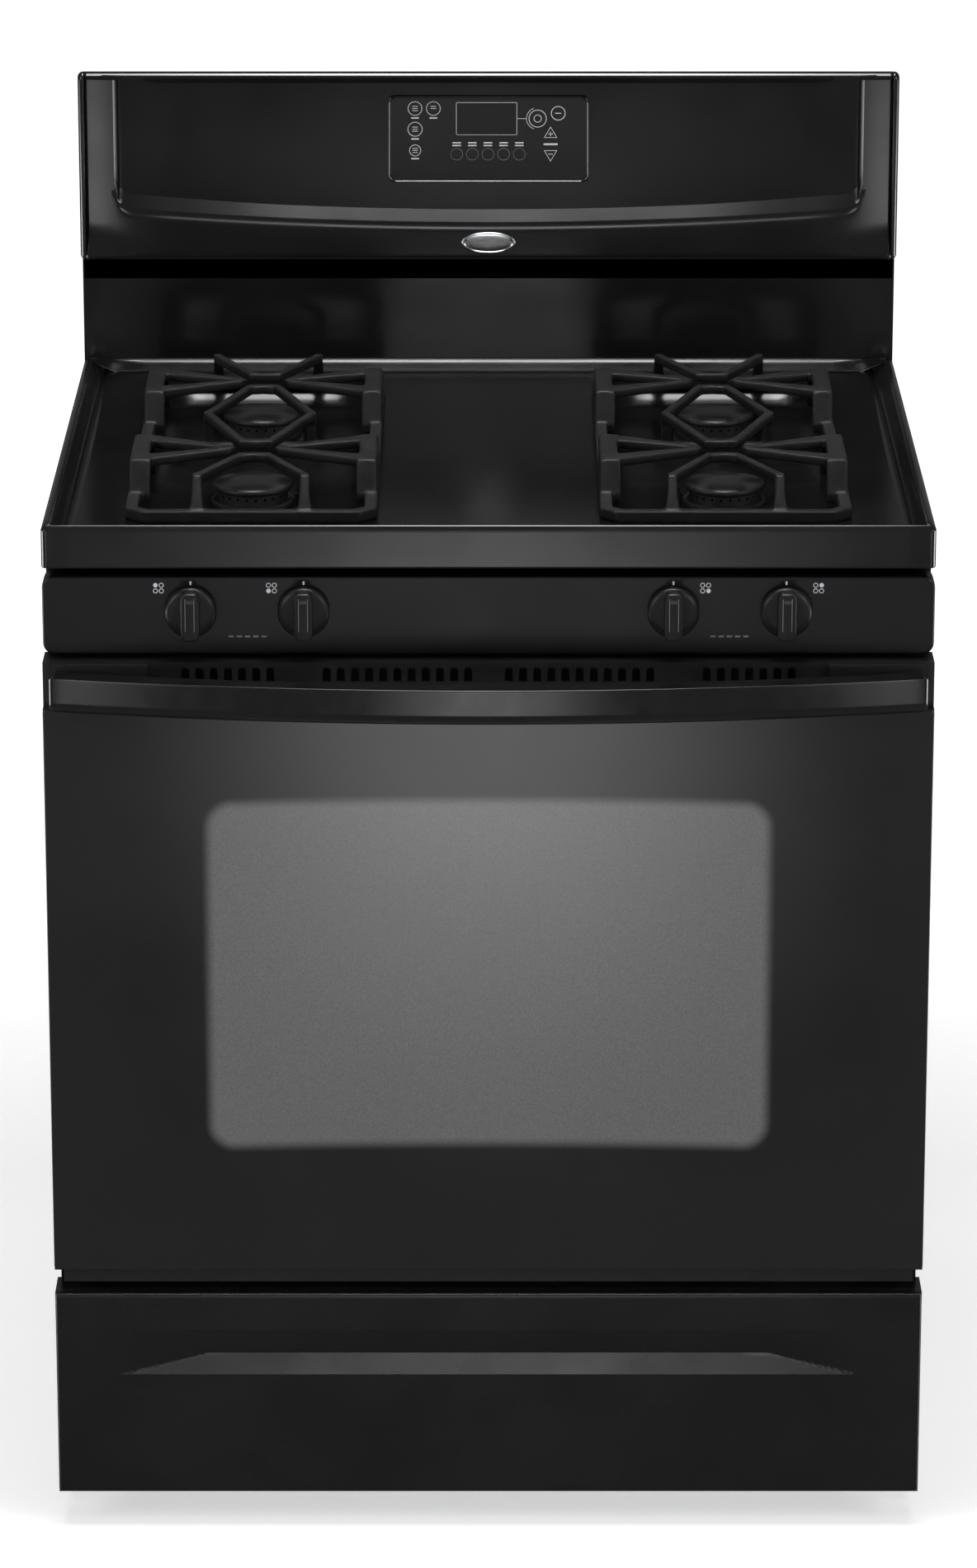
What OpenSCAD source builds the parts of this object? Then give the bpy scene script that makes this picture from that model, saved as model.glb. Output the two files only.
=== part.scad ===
// Freestanding 30 inch gas range: four sealed burners, one oven, a storage drawer.
// Millimetres. +Z is up, the front faces -Y, and the origin is on the floor below the middle
// of the range's box.

/* [Overall] */
// Width across the door, the drawer front and the cooktop
range_w = 759; // [754:1:762]
// Height from the floor to the top of the console
range_h = 1191; // [1186:1:1200]
// Depth from the front of the handle to the rear cover
range_d = 718; // [714:1:724]
// Height of the cooktop's raised rim
rim_z = 914; // [912:1:918]

/* [Door] */
// How far the handle's middle stands out of the door's face
handle_reach = 58; // [54:1:58]
// How far the handle's middle stands in front of its ends
handle_bow = 37; // [34:1:37]
// Width of the window
window_w = 490; // [440:5:500]
// Height of the window's lower edge
window_z0 = 359; // [355:1:380]
// Height of the window's upper edge
window_z1 = 681; // [660:1:684]

/* [Oven] */
// Width inside the oven
oven_w = 600; // [580:2:604]
// Height of the oven's ceiling
oven_z1 = 722; // [716:1:724]
// Height of the oven opening's lower edge
oven_z0 = 308; // [306:1:310]

/* [Burners and knobs] */
// Distance of the burners from the middle of the range
burner_x = 206; // [202:1:208]
// Diameter of a burner cap
cap_d = 70; // [64:1:72]
// Distance of the inner knobs from the middle
knob_x_in = 157; // [150:1:162]
// Distance of the outer knobs from the middle
knob_x_out = 253; // [246:1:256]
// Diameter of a knob
knob_d = 44; // [40:1:46]
// How far a knob pushes in
knob_push = 3; // [2:0.5:3]

/* [Drawer] */
// Top of the drawer front
drawer_z1 = 222.5; // [218:0.5:222.5]
// Bottom of the drawer front
drawer_z0 = 33.5; // [30:0.5:36]

/* [Hidden] */
$fn = 48;

// Depths, front to back
half_w = range_w / 2;
half_body = half_w - 2;
y_handle = -range_d / 2;
y_back = range_d / 2;
y_face = y_handle + handle_reach;
y_lip = y_face + 20;
y_body = y_face + 51;
y_rear = y_back - 4;
y_console = y_back - 75;
y_splash = y_back - 46;

// Heights, bottom to top
base_z = 28;
door_z0 = 232;
glass_z0 = 245.5;
glass_z1 = 757;
door_z1 = 796;
valve_z0 = 800;
valve_z1 = 869;
skirt_z = rim_z - 37.5;
surface_z = rim_z - 11;
well_z = rim_z - 24;
side_top = surface_z - 1.5;
vent_z = 990;
console_z = 1014;
knob_z = 839;
tube_z = 862;

// Sheet thicknesses
sheet = 1;
steel = 1.5;

// Door hinge axis
hinge_y = y_face + 21;
hinge_z = 263;
hinge_x = 343;
pin_r = 4;

// Burners and grates
burner_y_front = y_lip + 167;
burner_y_rear = y_lip + 407;
burner_y_mid = (burner_y_front + burner_y_rear) / 2;
grate_x = burner_x - 2.5;
grate_w = 216;
grate_l = 474;
grate_top = rim_z + 26;
bar_w = 10;

// Handle arc
handle_half = 373;
handle_r = (handle_half * handle_half + handle_bow * handle_bow) / (2 * handle_bow);
handle_t = 20;

// Oven
half_oven = oven_w / 2;
oven_y1 = 225;
box_z0 = 244;
rack_levels = [360, 425, 490, 555, 620];
ledge_h = 4;
ledge_w = 9;

// Drawer
tray_x = 330;
tray_z0 = 56;
tray_z1 = 170;
rail_z = 132;
leg_x = 345;
leg_y_front = -200;
leg_y_rear = 300;

knob_x = [-knob_x_out, -knob_x_in, knob_x_in, knob_x_out];
burner_places = [
    [-burner_x, burner_y_front], [burner_x, burner_y_front],
    [-burner_x, burner_y_rear], [burner_x, burner_y_rear]
];

// ---------------------------------------------------------------- helpers

// A box between two corners, given axis by axis
module block(x0, x1, y0, y1, z0, z1)
    translate([x0, y0, z0])
    cube([x1 - x0, y1 - y0, z1 - z0]);

// A drawing in X and Z, made solid from y0 to y1
module along_y(y0, y1)
    translate([0, y1, 0])
    rotate([90, 0, 0])
    linear_extrude(y1 - y0)
    children();

// A drawing in Y and Z, made solid from x0 to x1
module along_x(x0, x1)
    translate([x0, 0, 0])
    rotate([90, 0, 90])
    linear_extrude(x1 - x0)
    children();

// A drawing in X and Y, made solid from z0 to z1
module along_z(z0, z1)
    translate([0, 0, z0])
    linear_extrude(z1 - z0)
    children();

// The same on the left and on the right
module both_sides() {
    children();
    mirror([1, 0, 0]) children();
}

// A rectangle with round corners, from corner to corner
module round_rect(a0, a1, b0, b1, r) {
    translate([a0 + r, b0]) square([a1 - a0 - 2 * r, b1 - b0]);
    translate([a0, b0 + r]) square([a1 - a0, b1 - b0 - 2 * r]);
    for (a = [a0 + r, a1 - r], b = [b0 + r, b1 - r])
        translate([a, b]) circle(r = r);
}

// Round bars along each axis
module rod_x(x0, x1, y, z, r)
    translate([x0, y, z])
    rotate([0, 90, 0])
    cylinder(h = x1 - x0, r = r);

module rod_y(x, y0, y1, z, r)
    translate([x, y1, z])
    rotate([90, 0, 0])
    cylinder(h = y1 - y0, r = r);

module rod_z(x, y, z0, z1, r)
    translate([x, y, z0])
    cylinder(h = z1 - z0, r = r);

// ---------------------------------------------------------------- body

// Right-hand side panel: the lower front corner is cut back for the door's swing
module side_panel() {
    notch_z = 292;
    color("#1c1c1e") {
        along_x(half_body - sheet, half_body)
            polygon([
                [y_body - 1, notch_z], [y_body - 1, side_top], [y_rear, side_top],
                [y_rear, base_z], [y_body + 4, base_z], [y_body + 4, notch_z]
            ]);
        block(half_body - 13, half_body, y_body - 1, y_body, notch_z, side_top);
        block(half_body - 13, half_body, y_body - 1, y_rear, side_top - 1, side_top);
        block(half_body - 13, half_body, y_body + 4, y_rear, base_z, base_z + 1);
    }
}

module side_panel_right() side_panel();
module side_panel_left() mirror([1, 0, 0]) side_panel();

screw_x = [-360, -180, 0, 180, 360];
screw_z = [75, 480, 885];
split_screw_z = 200;
gland_x = -250;
gland_z = 150;
inlet_x = 310;
inlet_z = 130;

// Rear closing sheets: a tall one, and a low one that leaves the corner at the gas pipe open
module rear_panel() color("#8c8f91") {
    split_z = 200;
    low_x1 = inlet_x - 50;
    low_z0 = 60;
    high_z1 = 898;
    hem = 14;
    difference() {
        union() {
            block(-half_body + sheet, half_body - sheet, y_rear - sheet, y_rear, split_z, high_z1);
            block(-half_body + hem, half_body - hem, y_rear - hem, y_rear, high_z1 - sheet, high_z1);
            block(-half_body + sheet, low_x1, y_rear - sheet, y_rear, low_z0, split_z - 0.5);
            block(-half_body + hem, low_x1, y_rear - hem, y_rear, low_z0, low_z0 + sheet);
        }
        rear_screws() circle(r = 2);
        rod_y(gland_x, y_rear - 5, y_rear + 5, gland_z, 9);
    }
}

// A drawing at each screw of the rear sheets, made solid across the sheet
module rear_screws(y0 = y_rear - 5, y1 = y_rear + 5)
    for (x = screw_x, z = screw_z)
        if (x < inlet_x || z > split_screw_z)
            along_y(y0, y1) translate([x, z]) children();

// Sheet screws that hold the rear sheets
module fasteners() color("#b9bcc0") {
    rear_screws(y_rear - 8, y_rear) circle(r = 1.95);
    difference() {
        rear_screws(y_rear, y_rear + 2.5) circle(r = 4.2);
        rear_screws(y_rear + 1.4, y_rear + 3) square([6, 1], center = true);
    }
}

// Bottom rails, corner posts, the drawer's rails and the nuts of the levelling legs
module base_frame() color("#6f7376") difference() {
    inner = half_body - sheet;
    foot = base_z + 7;
    union() {
        both_sides() {
            block(330, inner, -240, 340, foot - 2, foot);
            block(inner - 2, inner, -240, 340, foot - 2, 62);
            for (y = [-238, 238]) {
                block(352, 366, y, y + 12, foot - 2, rail_z);
                block(352, inner, y, y + 2, foot - 2, rail_z);
            }
            block(341, 353, -238, 250, rail_z - 3, rail_z);
            for (y = [leg_y_front, leg_y_rear])
                rod_z(leg_x, y, foot - 2, foot + 14, 9);
        }
        block(-inner, inner, -240, -214, foot - 2, foot);
        block(-inner, inner, 318, 340, foot - 2, foot);
    }
    for (x = [-leg_x, leg_x], y = [leg_y_front, leg_y_rear])
        rod_z(x, y, foot - 5, foot + 20, 5.05);
}

// One levelling leg, from its foot to the top of its thread
module leg(x, y) color("#3a3c3e") {
    translate([x, y, 0])
    rotate_extrude()
        polygon([[0, 0], [17, 0], [19, 2], [19, 6], [12, 9], [5, 9], [5, 53], [4, 54], [0, 54]]);
}

module leg_front_left() leg(-leg_x, leg_y_front);
module leg_front_right() leg(leg_x, leg_y_front);
module leg_rear_left() leg(-leg_x, leg_y_rear);
module leg_rear_right() leg(leg_x, leg_y_rear);

// ---------------------------------------------------------------- oven

wall = 1.2;
lamp_x = -200;
lamp_z = 655;
probe_x = 180;
probe_z = 690;
floor_z = 302;

// Enamelled box with its front frame, rack ledges and floor ledges.
// The frame steps back below the opening, where the door's lower edge swings up.
module oven_liner() color("#3b3d42") difference() {
    plate_x = half_body - sheet;
    union() {
        difference() {
            block(-half_oven - wall, half_oven + wall, y_body + 1, oven_y1 + wall,
                  box_z0 - wall, oven_z1 + wall);
            block(-half_oven, half_oven, y_body - 5, oven_y1, box_z0, oven_z1);
            block(-half_oven - 5, half_oven + 5, y_body, y_body + 8, box_z0 - 5, 288);
        }
        along_y(y_body, y_body + 3)
            difference() {
                translate([-plate_x, 287]) square([2 * plate_x, valve_z0 - 287]);
                round_rect(-half_oven, half_oven, oven_z0, oven_z1, 12);
            }
        block(-plate_x, plate_x, y_body, y_body + 10, 287, 290);
        block(-plate_x, plate_x, y_body + 7, y_body + 10, 226, 290);
        both_sides() {
            for (z = rack_levels)
                block(half_oven - ledge_w, half_oven + wall, y_body + 15, oven_y1 - 8, z - ledge_h, z);
            block(half_oven - 10, half_oven + wall, y_body + 10, oven_y1, floor_z - 3, floor_z);
        }
    }
    rod_y(lamp_x, oven_y1 - 5, oven_y1 + 5, lamp_z, 18);
}

// Glass wool over the top, the sides and the back of the box
module oven_insulation() color("#d9d3b8") difference() {
    gap = 0.2;
    block(-342, 342, y_body + 10.2, 265, box_z0, 764);
    block(-half_oven - wall - gap, half_oven + wall + gap, y_body, oven_y1 + wall + gap,
          box_z0 - 5, oven_z1 + wall + gap);
    rod_y(lamp_x, oven_y1, 270, lamp_z, 19);
}

// Lift-out floor with heat slots along both sides
module oven_floor() color("#3b3d42") difference() {
    rim = 12;
    union() {
        block(-half_oven + 1, half_oven - 1, y_body + 11, oven_y1 - 1, floor_z, floor_z + 1.5);
        block(-half_oven + 1, half_oven - 1, y_body + 11, y_body + 12.5, floor_z, floor_z + 4);
        block(-half_oven + 1, half_oven - 1, oven_y1 - 2.5, oven_y1 - 1, floor_z, floor_z + rim);
    }
    for (x = [-272, 264], i = [0 : 8])
        block(x, x + 8, y_body + 35 + 46 * i, y_body + 65 + 46 * i, floor_z - 5, floor_z + 5);
}

// Straight tube burner with a row of ports along both sides and a spreader plate above
module oven_burner(z, y0, spreader_z) {
    bore = 11;
    difference() {
        union() {
            rod_y(0, y0, oven_y1, z, 13);
            block(-2, 2, y0 + 10, y0 + 20, min(z, spreader_z), max(z, spreader_z));
            block(-2, 2, oven_y1 - 40, oven_y1 - 30, min(z, spreader_z), max(z, spreader_z));
            block(-90, 90, y0, oven_y1 - 15, spreader_z, spreader_z + 1.5);
        }
        rod_y(0, y0 + 2, oven_y1 + 5, z, bore);
        for (i = [0 : 12])
            rod_x(-20, 20, y0 + 25 + 25 * i, z, 1.4);
    }
}

module bake_burner() color("#8b8d90") oven_burner(266, -160, 285);
module broil_burner() color("#8b8d90") oven_burner(702, -160, 683);

// Glow igniter beside each oven burner
module oven_igniters() color("#cfc9bd")
    for (z = [258, 694]) {
        block(16, 26, 60, 80, z, z + 14);
        block(18, 24, 80, 150, z + 3, z + 11);
    }

module temperature_probe() color("#a7a9ac") {
    rod_y(probe_x, 110, oven_y1, probe_z, 3);
    translate([probe_x, 110, probe_z]) sphere(r = 3);
    rod_y(probe_x, oven_y1 - 2, oven_y1, probe_z, 11);
}

// Lamp with its glass dome, in the rear wall
module oven_lamp() color("#f1e7c8", 0.6) difference() {
    translate([lamp_x, oven_y1, lamp_z])
    rotate([90, 0, 0])
    rotate_extrude() {
        difference() {
            union() {
                translate([0, 8]) circle(r = 24);
                translate([0, -14]) square([17.5, 14]);
            }
            translate([-30, -30]) square([30, 80]);
            translate([0, -30]) square([30, 16]);
            translate([17.5, -30]) square([30, 30]);
        }
    }
    rod_y(lamp_x, oven_y1 - 25, oven_y1 + 20, lamp_z, 8);
}

// Woven seal round the oven opening
module door_gasket() color("#4c4c4c")
    along_y(y_body - 5.7, y_body)
        difference() {
            round_rect(-322, 322, 292, 738, 26);
            round_rect(-312, 312, 302, 728, 16);
        }

// Fixed arms that carry the door's pins
module hinge_arms() color("#9a9da0") both_sides() {
    along_x(hinge_x - 3, hinge_x + 3) {
        translate([hinge_y, hinge_z]) circle(r = 9);
        translate([hinge_y, hinge_z - 9]) square([y_body + 7 - hinge_y, 18]);
    }
    rod_x(hinge_x - 8.5, hinge_x + 8.5, hinge_y, hinge_z, pin_r);
    block(hinge_x - 12, hinge_x + 12, y_body + 5, y_body + 7, 247, 285);
}

// ---------------------------------------------------------------- gas train

manifold_y = -225;
riser_x = 358;
riser_y = 270;
pipe_r = 8;

// Pipe from the regulator up and forward to the burner valves
module gas_manifold() color("#a9adb1") {
    rod_x(-290, riser_x, manifold_y, knob_z, pipe_r);
    rod_y(riser_x, manifold_y, riser_y, knob_z, pipe_r);
    rod_z(riser_x, riser_y, inlet_z, knob_z, pipe_r);
    rod_x(inlet_x + 26, riser_x, riser_y, inlet_z, pipe_r);
    for (p = [[riser_x, manifold_y, knob_z], [riser_x, riser_y, knob_z], [riser_x, riser_y, inlet_z]])
        translate(p) sphere(r = pipe_r);
}

// Pressure regulator with the range's gas inlet thread facing the rear
module pressure_regulator() color("#b7babd") difference() {
    union() {
        block(inlet_x - 26, inlet_x + 26, riser_y - 20, riser_y + 20, inlet_z - 20, inlet_z + 20);
        rod_z(inlet_x, riser_y, inlet_z + 20, inlet_z + 34, 24);
        rod_y(inlet_x, riser_y + 20, riser_y + 54, inlet_z, 15);
    }
    rod_y(inlet_x, riser_y + 34, riser_y + 60, inlet_z, 9.3);
}

// Tap bodies clamped to the manifold, one behind each knob
module burner_valves() color("#b59a55")
    for (x = knob_x) difference() {
        union() {
            block(x - 12, x + 12, y_body - 12, manifold_y - 6, knob_z - 12, valve_z1 - 2);
            rod_y(x, y_lip + 4, y_body - 12, knob_z, 7);
        }
        rod_y(x, y_lip, y_body + 6, knob_z, pin_r + 0.05);
        rod_x(x - 20, x + 20, manifold_y, knob_z, pipe_r + 0.02);
    }

// How far a stem stands out of the valve panel's lip
stem_out = 13;

// Turning stem of one valve, flat on top where the knob sits
module valve_stem(x) color("#c9b26a") difference() {
    rod_y(x, y_lip - stem_out, y_body + 4, knob_z, pin_r);
    block(x - 5, x + 5, y_lip - stem_out - 1, y_lip + 2, knob_z + 2.5, knob_z + 6);
}

module valve_stem_rear_left() valve_stem(knob_x[0]);
module valve_stem_front_left() valve_stem(knob_x[1]);
module valve_stem_front_right() valve_stem(knob_x[2]);
module valve_stem_rear_right() valve_stem(knob_x[3]);

// One knob: round skirt, raised grip and a bore with a flat
module knob(x) color("#161617") {
    back = y_lip - 2;
    skirt = 8;
    grip = 12;
    translate([x, back, knob_z])
    rotate([90, 0, 0])
    difference() {
        union() {
            rotate_extrude($fn = 64)
                polygon([[0, 0], [knob_d / 2, 0], [knob_d / 2, 3], [knob_d / 2 - 2, 6],
                         [knob_d / 2 - 5, skirt], [0, skirt]]);
            intersection() {
                cylinder(h = skirt + grip, r = knob_d / 2 - 0.5, $fn = 64);
                translate([-8, -30, 0]) cube([16, 60, skirt + grip]);
            }
        }
        difference() {
            translate([0, 0, -1]) cylinder(h = stem_out + knob_push, r = pin_r + 0.05);
            translate([-5, 2.55, -2]) cube([10, 5, 30]);
        }
        translate([-0.6, 8, skirt + grip - 0.6]) cube([1.2, 14, 2]);
    }
}

module knob_rear_left() knob(knob_x[0]);
module knob_front_left() knob(knob_x[1]);
module knob_front_right() knob(knob_x[2]);
module knob_rear_right() knob(knob_x[3]);

// Cast burner bases, each with its hub below the cooktop and its venturi tube
module burner_bases() color("#a8a9a6")
    for (i = [0 : 3]) {
        place = burner_places[i];
        side = place[0] < 0 ? -1 : 1;
        tap = side * (i < 2 ? knob_x_in : knob_x_out);
        difference() {
            union() {
                rod_z(place[0], place[1], well_z, well_z + 3, 36);
                rod_z(place[0], place[1], well_z, well_z + 13, 31);
                rod_z(place[0], place[1], tube_z - 6, well_z, 26);
                rod_x(min(tap, place[0]), max(tap, place[0]), place[1], tube_z, 4);
                rod_y(tap, manifold_y - 6, place[1], tube_z, 4);
                translate([tap, place[1], tube_z]) sphere(r = 4);
            }
            rod_z(place[0], place[1], tube_z, well_z + 20, 20.5);
            for (a = [0 : 15 : 345])
                translate([place[0], place[1], well_z + 9])
                rotate([0, 90, a + 7.5])
                translate([0, 0, 15])
                cylinder(h = 20, r = 1.1);
        }
    }

// Loose enamelled cap on top of a burner base
module burner_cap(place) color("#1b1b1c")
    translate([place[0], place[1], well_z + 13])
    rotate_extrude($fn = 64)
        polygon([[0, -5], [20, -5], [20, 0], [cap_d / 2 - 1, 0], [cap_d / 2, 1.5], [cap_d / 2, 4.5],
                 [cap_d / 2 - 2, 6.5], [0, 7.5]]);

module burner_cap_front_left() burner_cap(burner_places[0]);
module burner_cap_front_right() burner_cap(burner_places[1]);
module burner_cap_rear_left() burner_cap(burner_places[2]);
module burner_cap_rear_right() burner_cap(burner_places[3]);

spark_offset = 40;

// Ceramic spark electrode beside each burner
module spark_electrodes() color("#e9e6df")
    for (place = burner_places)
        translate([place[0] + (place[0] < 0 ? spark_offset : -spark_offset), place[1], 0]) {
            translate([0, 0, tube_z + 5]) cylinder(h = well_z + 8 - tube_z - 5, r = 2.9);
            translate([0, 0, well_z + 8]) cylinder(h = 5, r = 0.9);
        }

// ---------------------------------------------------------------- cooktop

well_x0 = 101;
well_x1 = 306;
well_y0 = burner_y_mid - 231;
well_y1 = burner_y_mid + 231;

// Pressed enamelled top with a raised rim, a sloping rear cove, two wells and a skirt all round
module cooktop() color("#1a1a1c") difference() {
    rim_side = 18;
    rim_front = 9;
    cove_y = y_splash - 12;
    side = half_w - rim_side;
    union() {
        difference() {
            along_z(skirt_z, rim_z)
                round_rect(-half_w, half_w, y_lip, y_splash, 5);
            block(-half_body - 0.5, half_body + 0.5, y_lip + steel, y_splash - steel, skirt_z - 5,
                  surface_z - steel);
            both_sides()
                block(half_body - 14, half_body + 0.5, y_splash - 5, y_splash + 5, skirt_z - 5,
                      surface_z - steel);
        }
        both_sides()
            along_z(well_z - steel, surface_z)
                round_rect(well_x0 - steel, well_x1 + steel, well_y0 - steel, well_y1 + steel, 26);
    }
    along_z(surface_z, rim_z + 1)
        union() {
            round_rect(-side, side, y_lip + rim_front, cove_y, 8);
            translate([-side, cove_y - 20]) square([2 * side, 20]);
        }
    along_x(-side, side)
        polygon([[cove_y, surface_z], [y_splash - 1, rim_z], [y_splash - 1, rim_z + 1],
                 [cove_y - 1, rim_z + 1], [cove_y - 1, surface_z]]);
    both_sides()
        along_z(well_z, surface_z + 1)
            round_rect(well_x0, well_x1, well_y0, well_y1, 25);
    for (place = burner_places) {
        rod_z(place[0], place[1], well_z - 10, well_z + 5, 27);
        rod_z(place[0] + (place[0] < 0 ? spark_offset : -spark_offset), place[1],
              well_z - 10, well_z + 5, 3);
    }
}

// Grate measures: corner points of the front, middle and rear arms, half length of a side
// plateau, and where the arms end round the burner
vertex_x = 46;
vertex_in = 25;
plateau = 40;
rail_w = 16;
tip_x = 13;
tip_y = 25;
arm_w = 8;
arm_h = 8;

// A straight stroke with round ends, drawn in X and Y
module stroke(a, b, w) {
    run = b - a;
    translate(a)
        rotate(atan2(run[1], run[0]))
        translate([0, -w / 2])
        square([norm(run), w]);
    for (end = [a, b])
        translate(end) circle(r = w / 2 + 0.4);
}

// The grate's top layer seen from above
module grate_arms(top_x, end_y, pitch)
    for (s = [-1, 1]) {
        for (x = [-1, 1]) {
            for (start = [[x * vertex_x, s * (end_y - vertex_in)], [x * vertex_x, 0]]) {
                side = abs(start[1]) > 0 ? 1 : -1;
                bend = [x * tip_x, s * (pitch + side * tip_y)];
                stroke(start, bend, arm_w);
                stroke(bend, [0, s * (pitch + side * (tip_y - 3))], arm_w);
            }
            tip = [x * 22, s * pitch];
            for (e = [-1, 1])
                stroke([x * top_x, s * pitch + e * plateau], tip, arm_w);
            translate([x * top_x, s * pitch])
                square([rail_w, 2 * plateau + arm_w], center = true);
        }
    }

// Double grate over a front and a rear burner: base ring, legs, plateaus and arms
module grate(cx) color("#202021")
    translate([cx, burner_y_mid, 0]) {
        half = grate_w / 2;
        half_l = grate_l / 2;
        top_x = half - rail_w / 2 - 1;
        low = surface_z;
        arm_z = grate_top - arm_h;
        pitch = (burner_y_rear - burner_y_front) / 2;
        along_z(low, low + bar_w) {
            difference() {
                round_rect(-half, half, -half_l, half_l, 12);
                round_rect(-half + bar_w, half - bar_w, -half_l + bar_w, half_l - bar_w, 8);
            }
            translate([-half + 5, -5]) square([2 * half - 10, 10]);
        }
        along_z(arm_z, grate_top) grate_arms(top_x, half_l, pitch);
        for (x = [-vertex_x, vertex_x]) {
            block(x - 3.5, x + 3.5, -3.5, 3.5, low + 5, grate_top - 2);
            for (s = [-1, 1])
                along_x(x - 3.5, x + 3.5)
                    polygon([
                        [s * (half_l - 1), low + 1], [s * (half_l - 9), low + 1],
                        [s * (half_l - vertex_in - 3), arm_z + 1],
                        [s * (half_l - vertex_in - 3), grate_top - 1],
                        [s * (half_l - vertex_in + 3), grate_top - 1]
                    ]);
        }
        for (s = [-1, 1], t = [-1, 1]) {
            wall_x = t * (half - 3.5);
            reach = plateau + arm_w / 2 - 1;
            end_x = [t * (top_x - rail_w / 2 - 2), t * (top_x + rail_w / 2 - 1)];
            block(wall_x - 2, wall_x + 2, s * pitch - reach, s * pitch + reach, low + 1, grate_top - 1);
            for (e = [-1, 1]) {
                outer = s * pitch + e * (plateau + 16);
                inner = s * pitch + e * (plateau - 2);
                along_x(min(end_x), max(end_x))
                    polygon([[inner, low + 1], [outer, low + 1], [outer, low + 9],
                             [s * pitch + e * reach, grate_top - 1], [inner, grate_top - 1]]);
            }
        }
    }

module grate_left() grate(-grate_x);
module grate_right() grate(grate_x);

// ---------------------------------------------------------------- front panels

// Channel below the cooktop that carries the knobs
module valve_panel() color("#19191a") difference() {
    front = y_lip + 2;
    union() {
        along_y(front, front + 2)
            round_rect(-half_w, half_w, valve_z0, valve_z1, 8);
        block(-half_w + 8, half_w - 8, front, y_body - 2, valve_z1 - 2, valve_z1);
        block(-half_w + 8, half_w - 8, front, y_body - 2, valve_z0, valve_z0 + 2);
        both_sides()
            block(half_w - 2, half_w, front, y_body - 2, valve_z0 + 8, valve_z1 - 8);
    }
    for (x = knob_x)
        rod_y(x, front - 5, front + 5, knob_z, 6);
}

// ---------------------------------------------------------------- backguard

// Lower splash panel between the cooktop and the console
module backguard_panel() color("#1c1c1e") {
    block(-half_w, half_w, y_splash, y_splash + steel, side_top, vent_z);
    block(-half_w, half_w, y_splash, y_splash + 12, vent_z - steel, vent_z);
    both_sides()
        block(half_w - steel, half_w, y_splash, y_back - 1.5, side_top, console_z);
}

// Console outline seen from the side: the top slopes down towards the rear
module console_profile(inset) {
    front = y_console + inset;
    top = range_h - inset;
    nose = 7;
    polygon(concat(
        [[y_back - 1.5, console_z + inset], [front, console_z + inset]],
        [for (a = [180 : -15 : 75]) [front + nose + nose * cos(a), top - nose + nose * sin(a)]],
        [[y_back - 1.5, top - 16]]
    ));
}

recess_half = 347;
recess_top = 1184;
recess_z = 1052;
recess_sag = 14;

// Outline of the recessed panel: a shallow arc below, straight sides
module recess_outline(grow) {
    arc_r = (recess_half * recess_half + recess_sag * recess_sag) / (2 * recess_sag);
    intersection() {
        translate([-recess_half - grow, recess_z - grow])
            square([2 * (recess_half + grow), recess_top - recess_z + 2 * grow]);
        translate([0, recess_z + arc_r]) circle(r = arc_r + grow, $fn = 360);
    }
}

// Console moulding: frame, curved ledge and recessed panel
module console_fascia() color("#19191b") difference() {
    x1 = half_w - 5.6;
    union() {
        difference() {
            along_x(-x1, x1) console_profile(0);
            along_x(-x1 - 1, x1 + 1) console_profile(2.5);
            block(-x1 - 1, x1 + 1, y_back - 5, y_back + 5, console_z + 2.5, range_h);
        }
        intersection() {
            along_y(y_console, y_console + 12.5) recess_outline(2.5);
            along_x(-x1, x1) console_profile(0);
        }
    }
    along_y(y_console - 5, y_console + 10) recess_outline(0);
}

module console_end_caps() color("#151516") both_sides()
    along_x(half_w - 5.6, half_w) console_profile(0);

// Sheet that closes the rear of the backguard
module backguard_cover() color("#8c8f91") difference() {
    block(-half_w, half_w, y_back - 1.5, y_back, side_top, range_h - 24);
    for (i = [-6 : 6])
        along_y(y_back - 5, y_back + 5)
            round_rect(i * 50 - 16, i * 50 + 16, 960, 966, 2.9);
}

overlay_half = 91.5;

// Key film with a clear display window; the face has no lettering
module control_overlay() color("#0f0f10")
    along_y(y_console + 8, y_console + 10)
        round_rect(-overlay_half, overlay_half, 1088, 1166.5, 6);

// Electronic control behind the console
module control_board() color("#2f6b43") {
    block(-95, 95, y_console + 20, y_console + 21.6, 1080, 1165);
    block(-30, 26, y_console + 12.5, y_console + 20, 1130, 1160);
    for (x = [-80, -50, 50])
        block(x, x + 22, y_console + 21.6, y_console + 38, 1090, 1112);
    block(10, 40, y_console + 21.6, y_console + 50, 1088, 1120);
}

// Blank oval plate
module badge() color("#c3c5c8")
    along_y(y_console - 2.2, y_console)
        translate([0, 1031.4])
        polygon([for (a = [0 : 10 : 350]) [25 * cos(a), 9.7 * sin(a)]]);

// Bushing for the supply cord
module cord_gland() color("#111111") difference() {
    union() {
        rod_y(gland_x, y_rear - 8, y_rear, gland_z, 8.95);
        rod_y(gland_x, y_rear, y_rear + 3, gland_z, 12);
    }
    rod_y(gland_x, y_rear - 12, y_rear + 8, gland_z, 4.5);
}

// ---------------------------------------------------------------- door

// Outer glass over the whole face
module door_glass() color("#101011")
    along_y(y_face, y_face + 4.5)
        round_rect(-half_w, half_w, glass_z0, glass_z1, 3);

frame_y0 = y_face + 4.5;
frame_y1 = y_body - 7;
slot_x0 = hinge_x - 4;
slot_x1 = hinge_x + 4;

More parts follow.
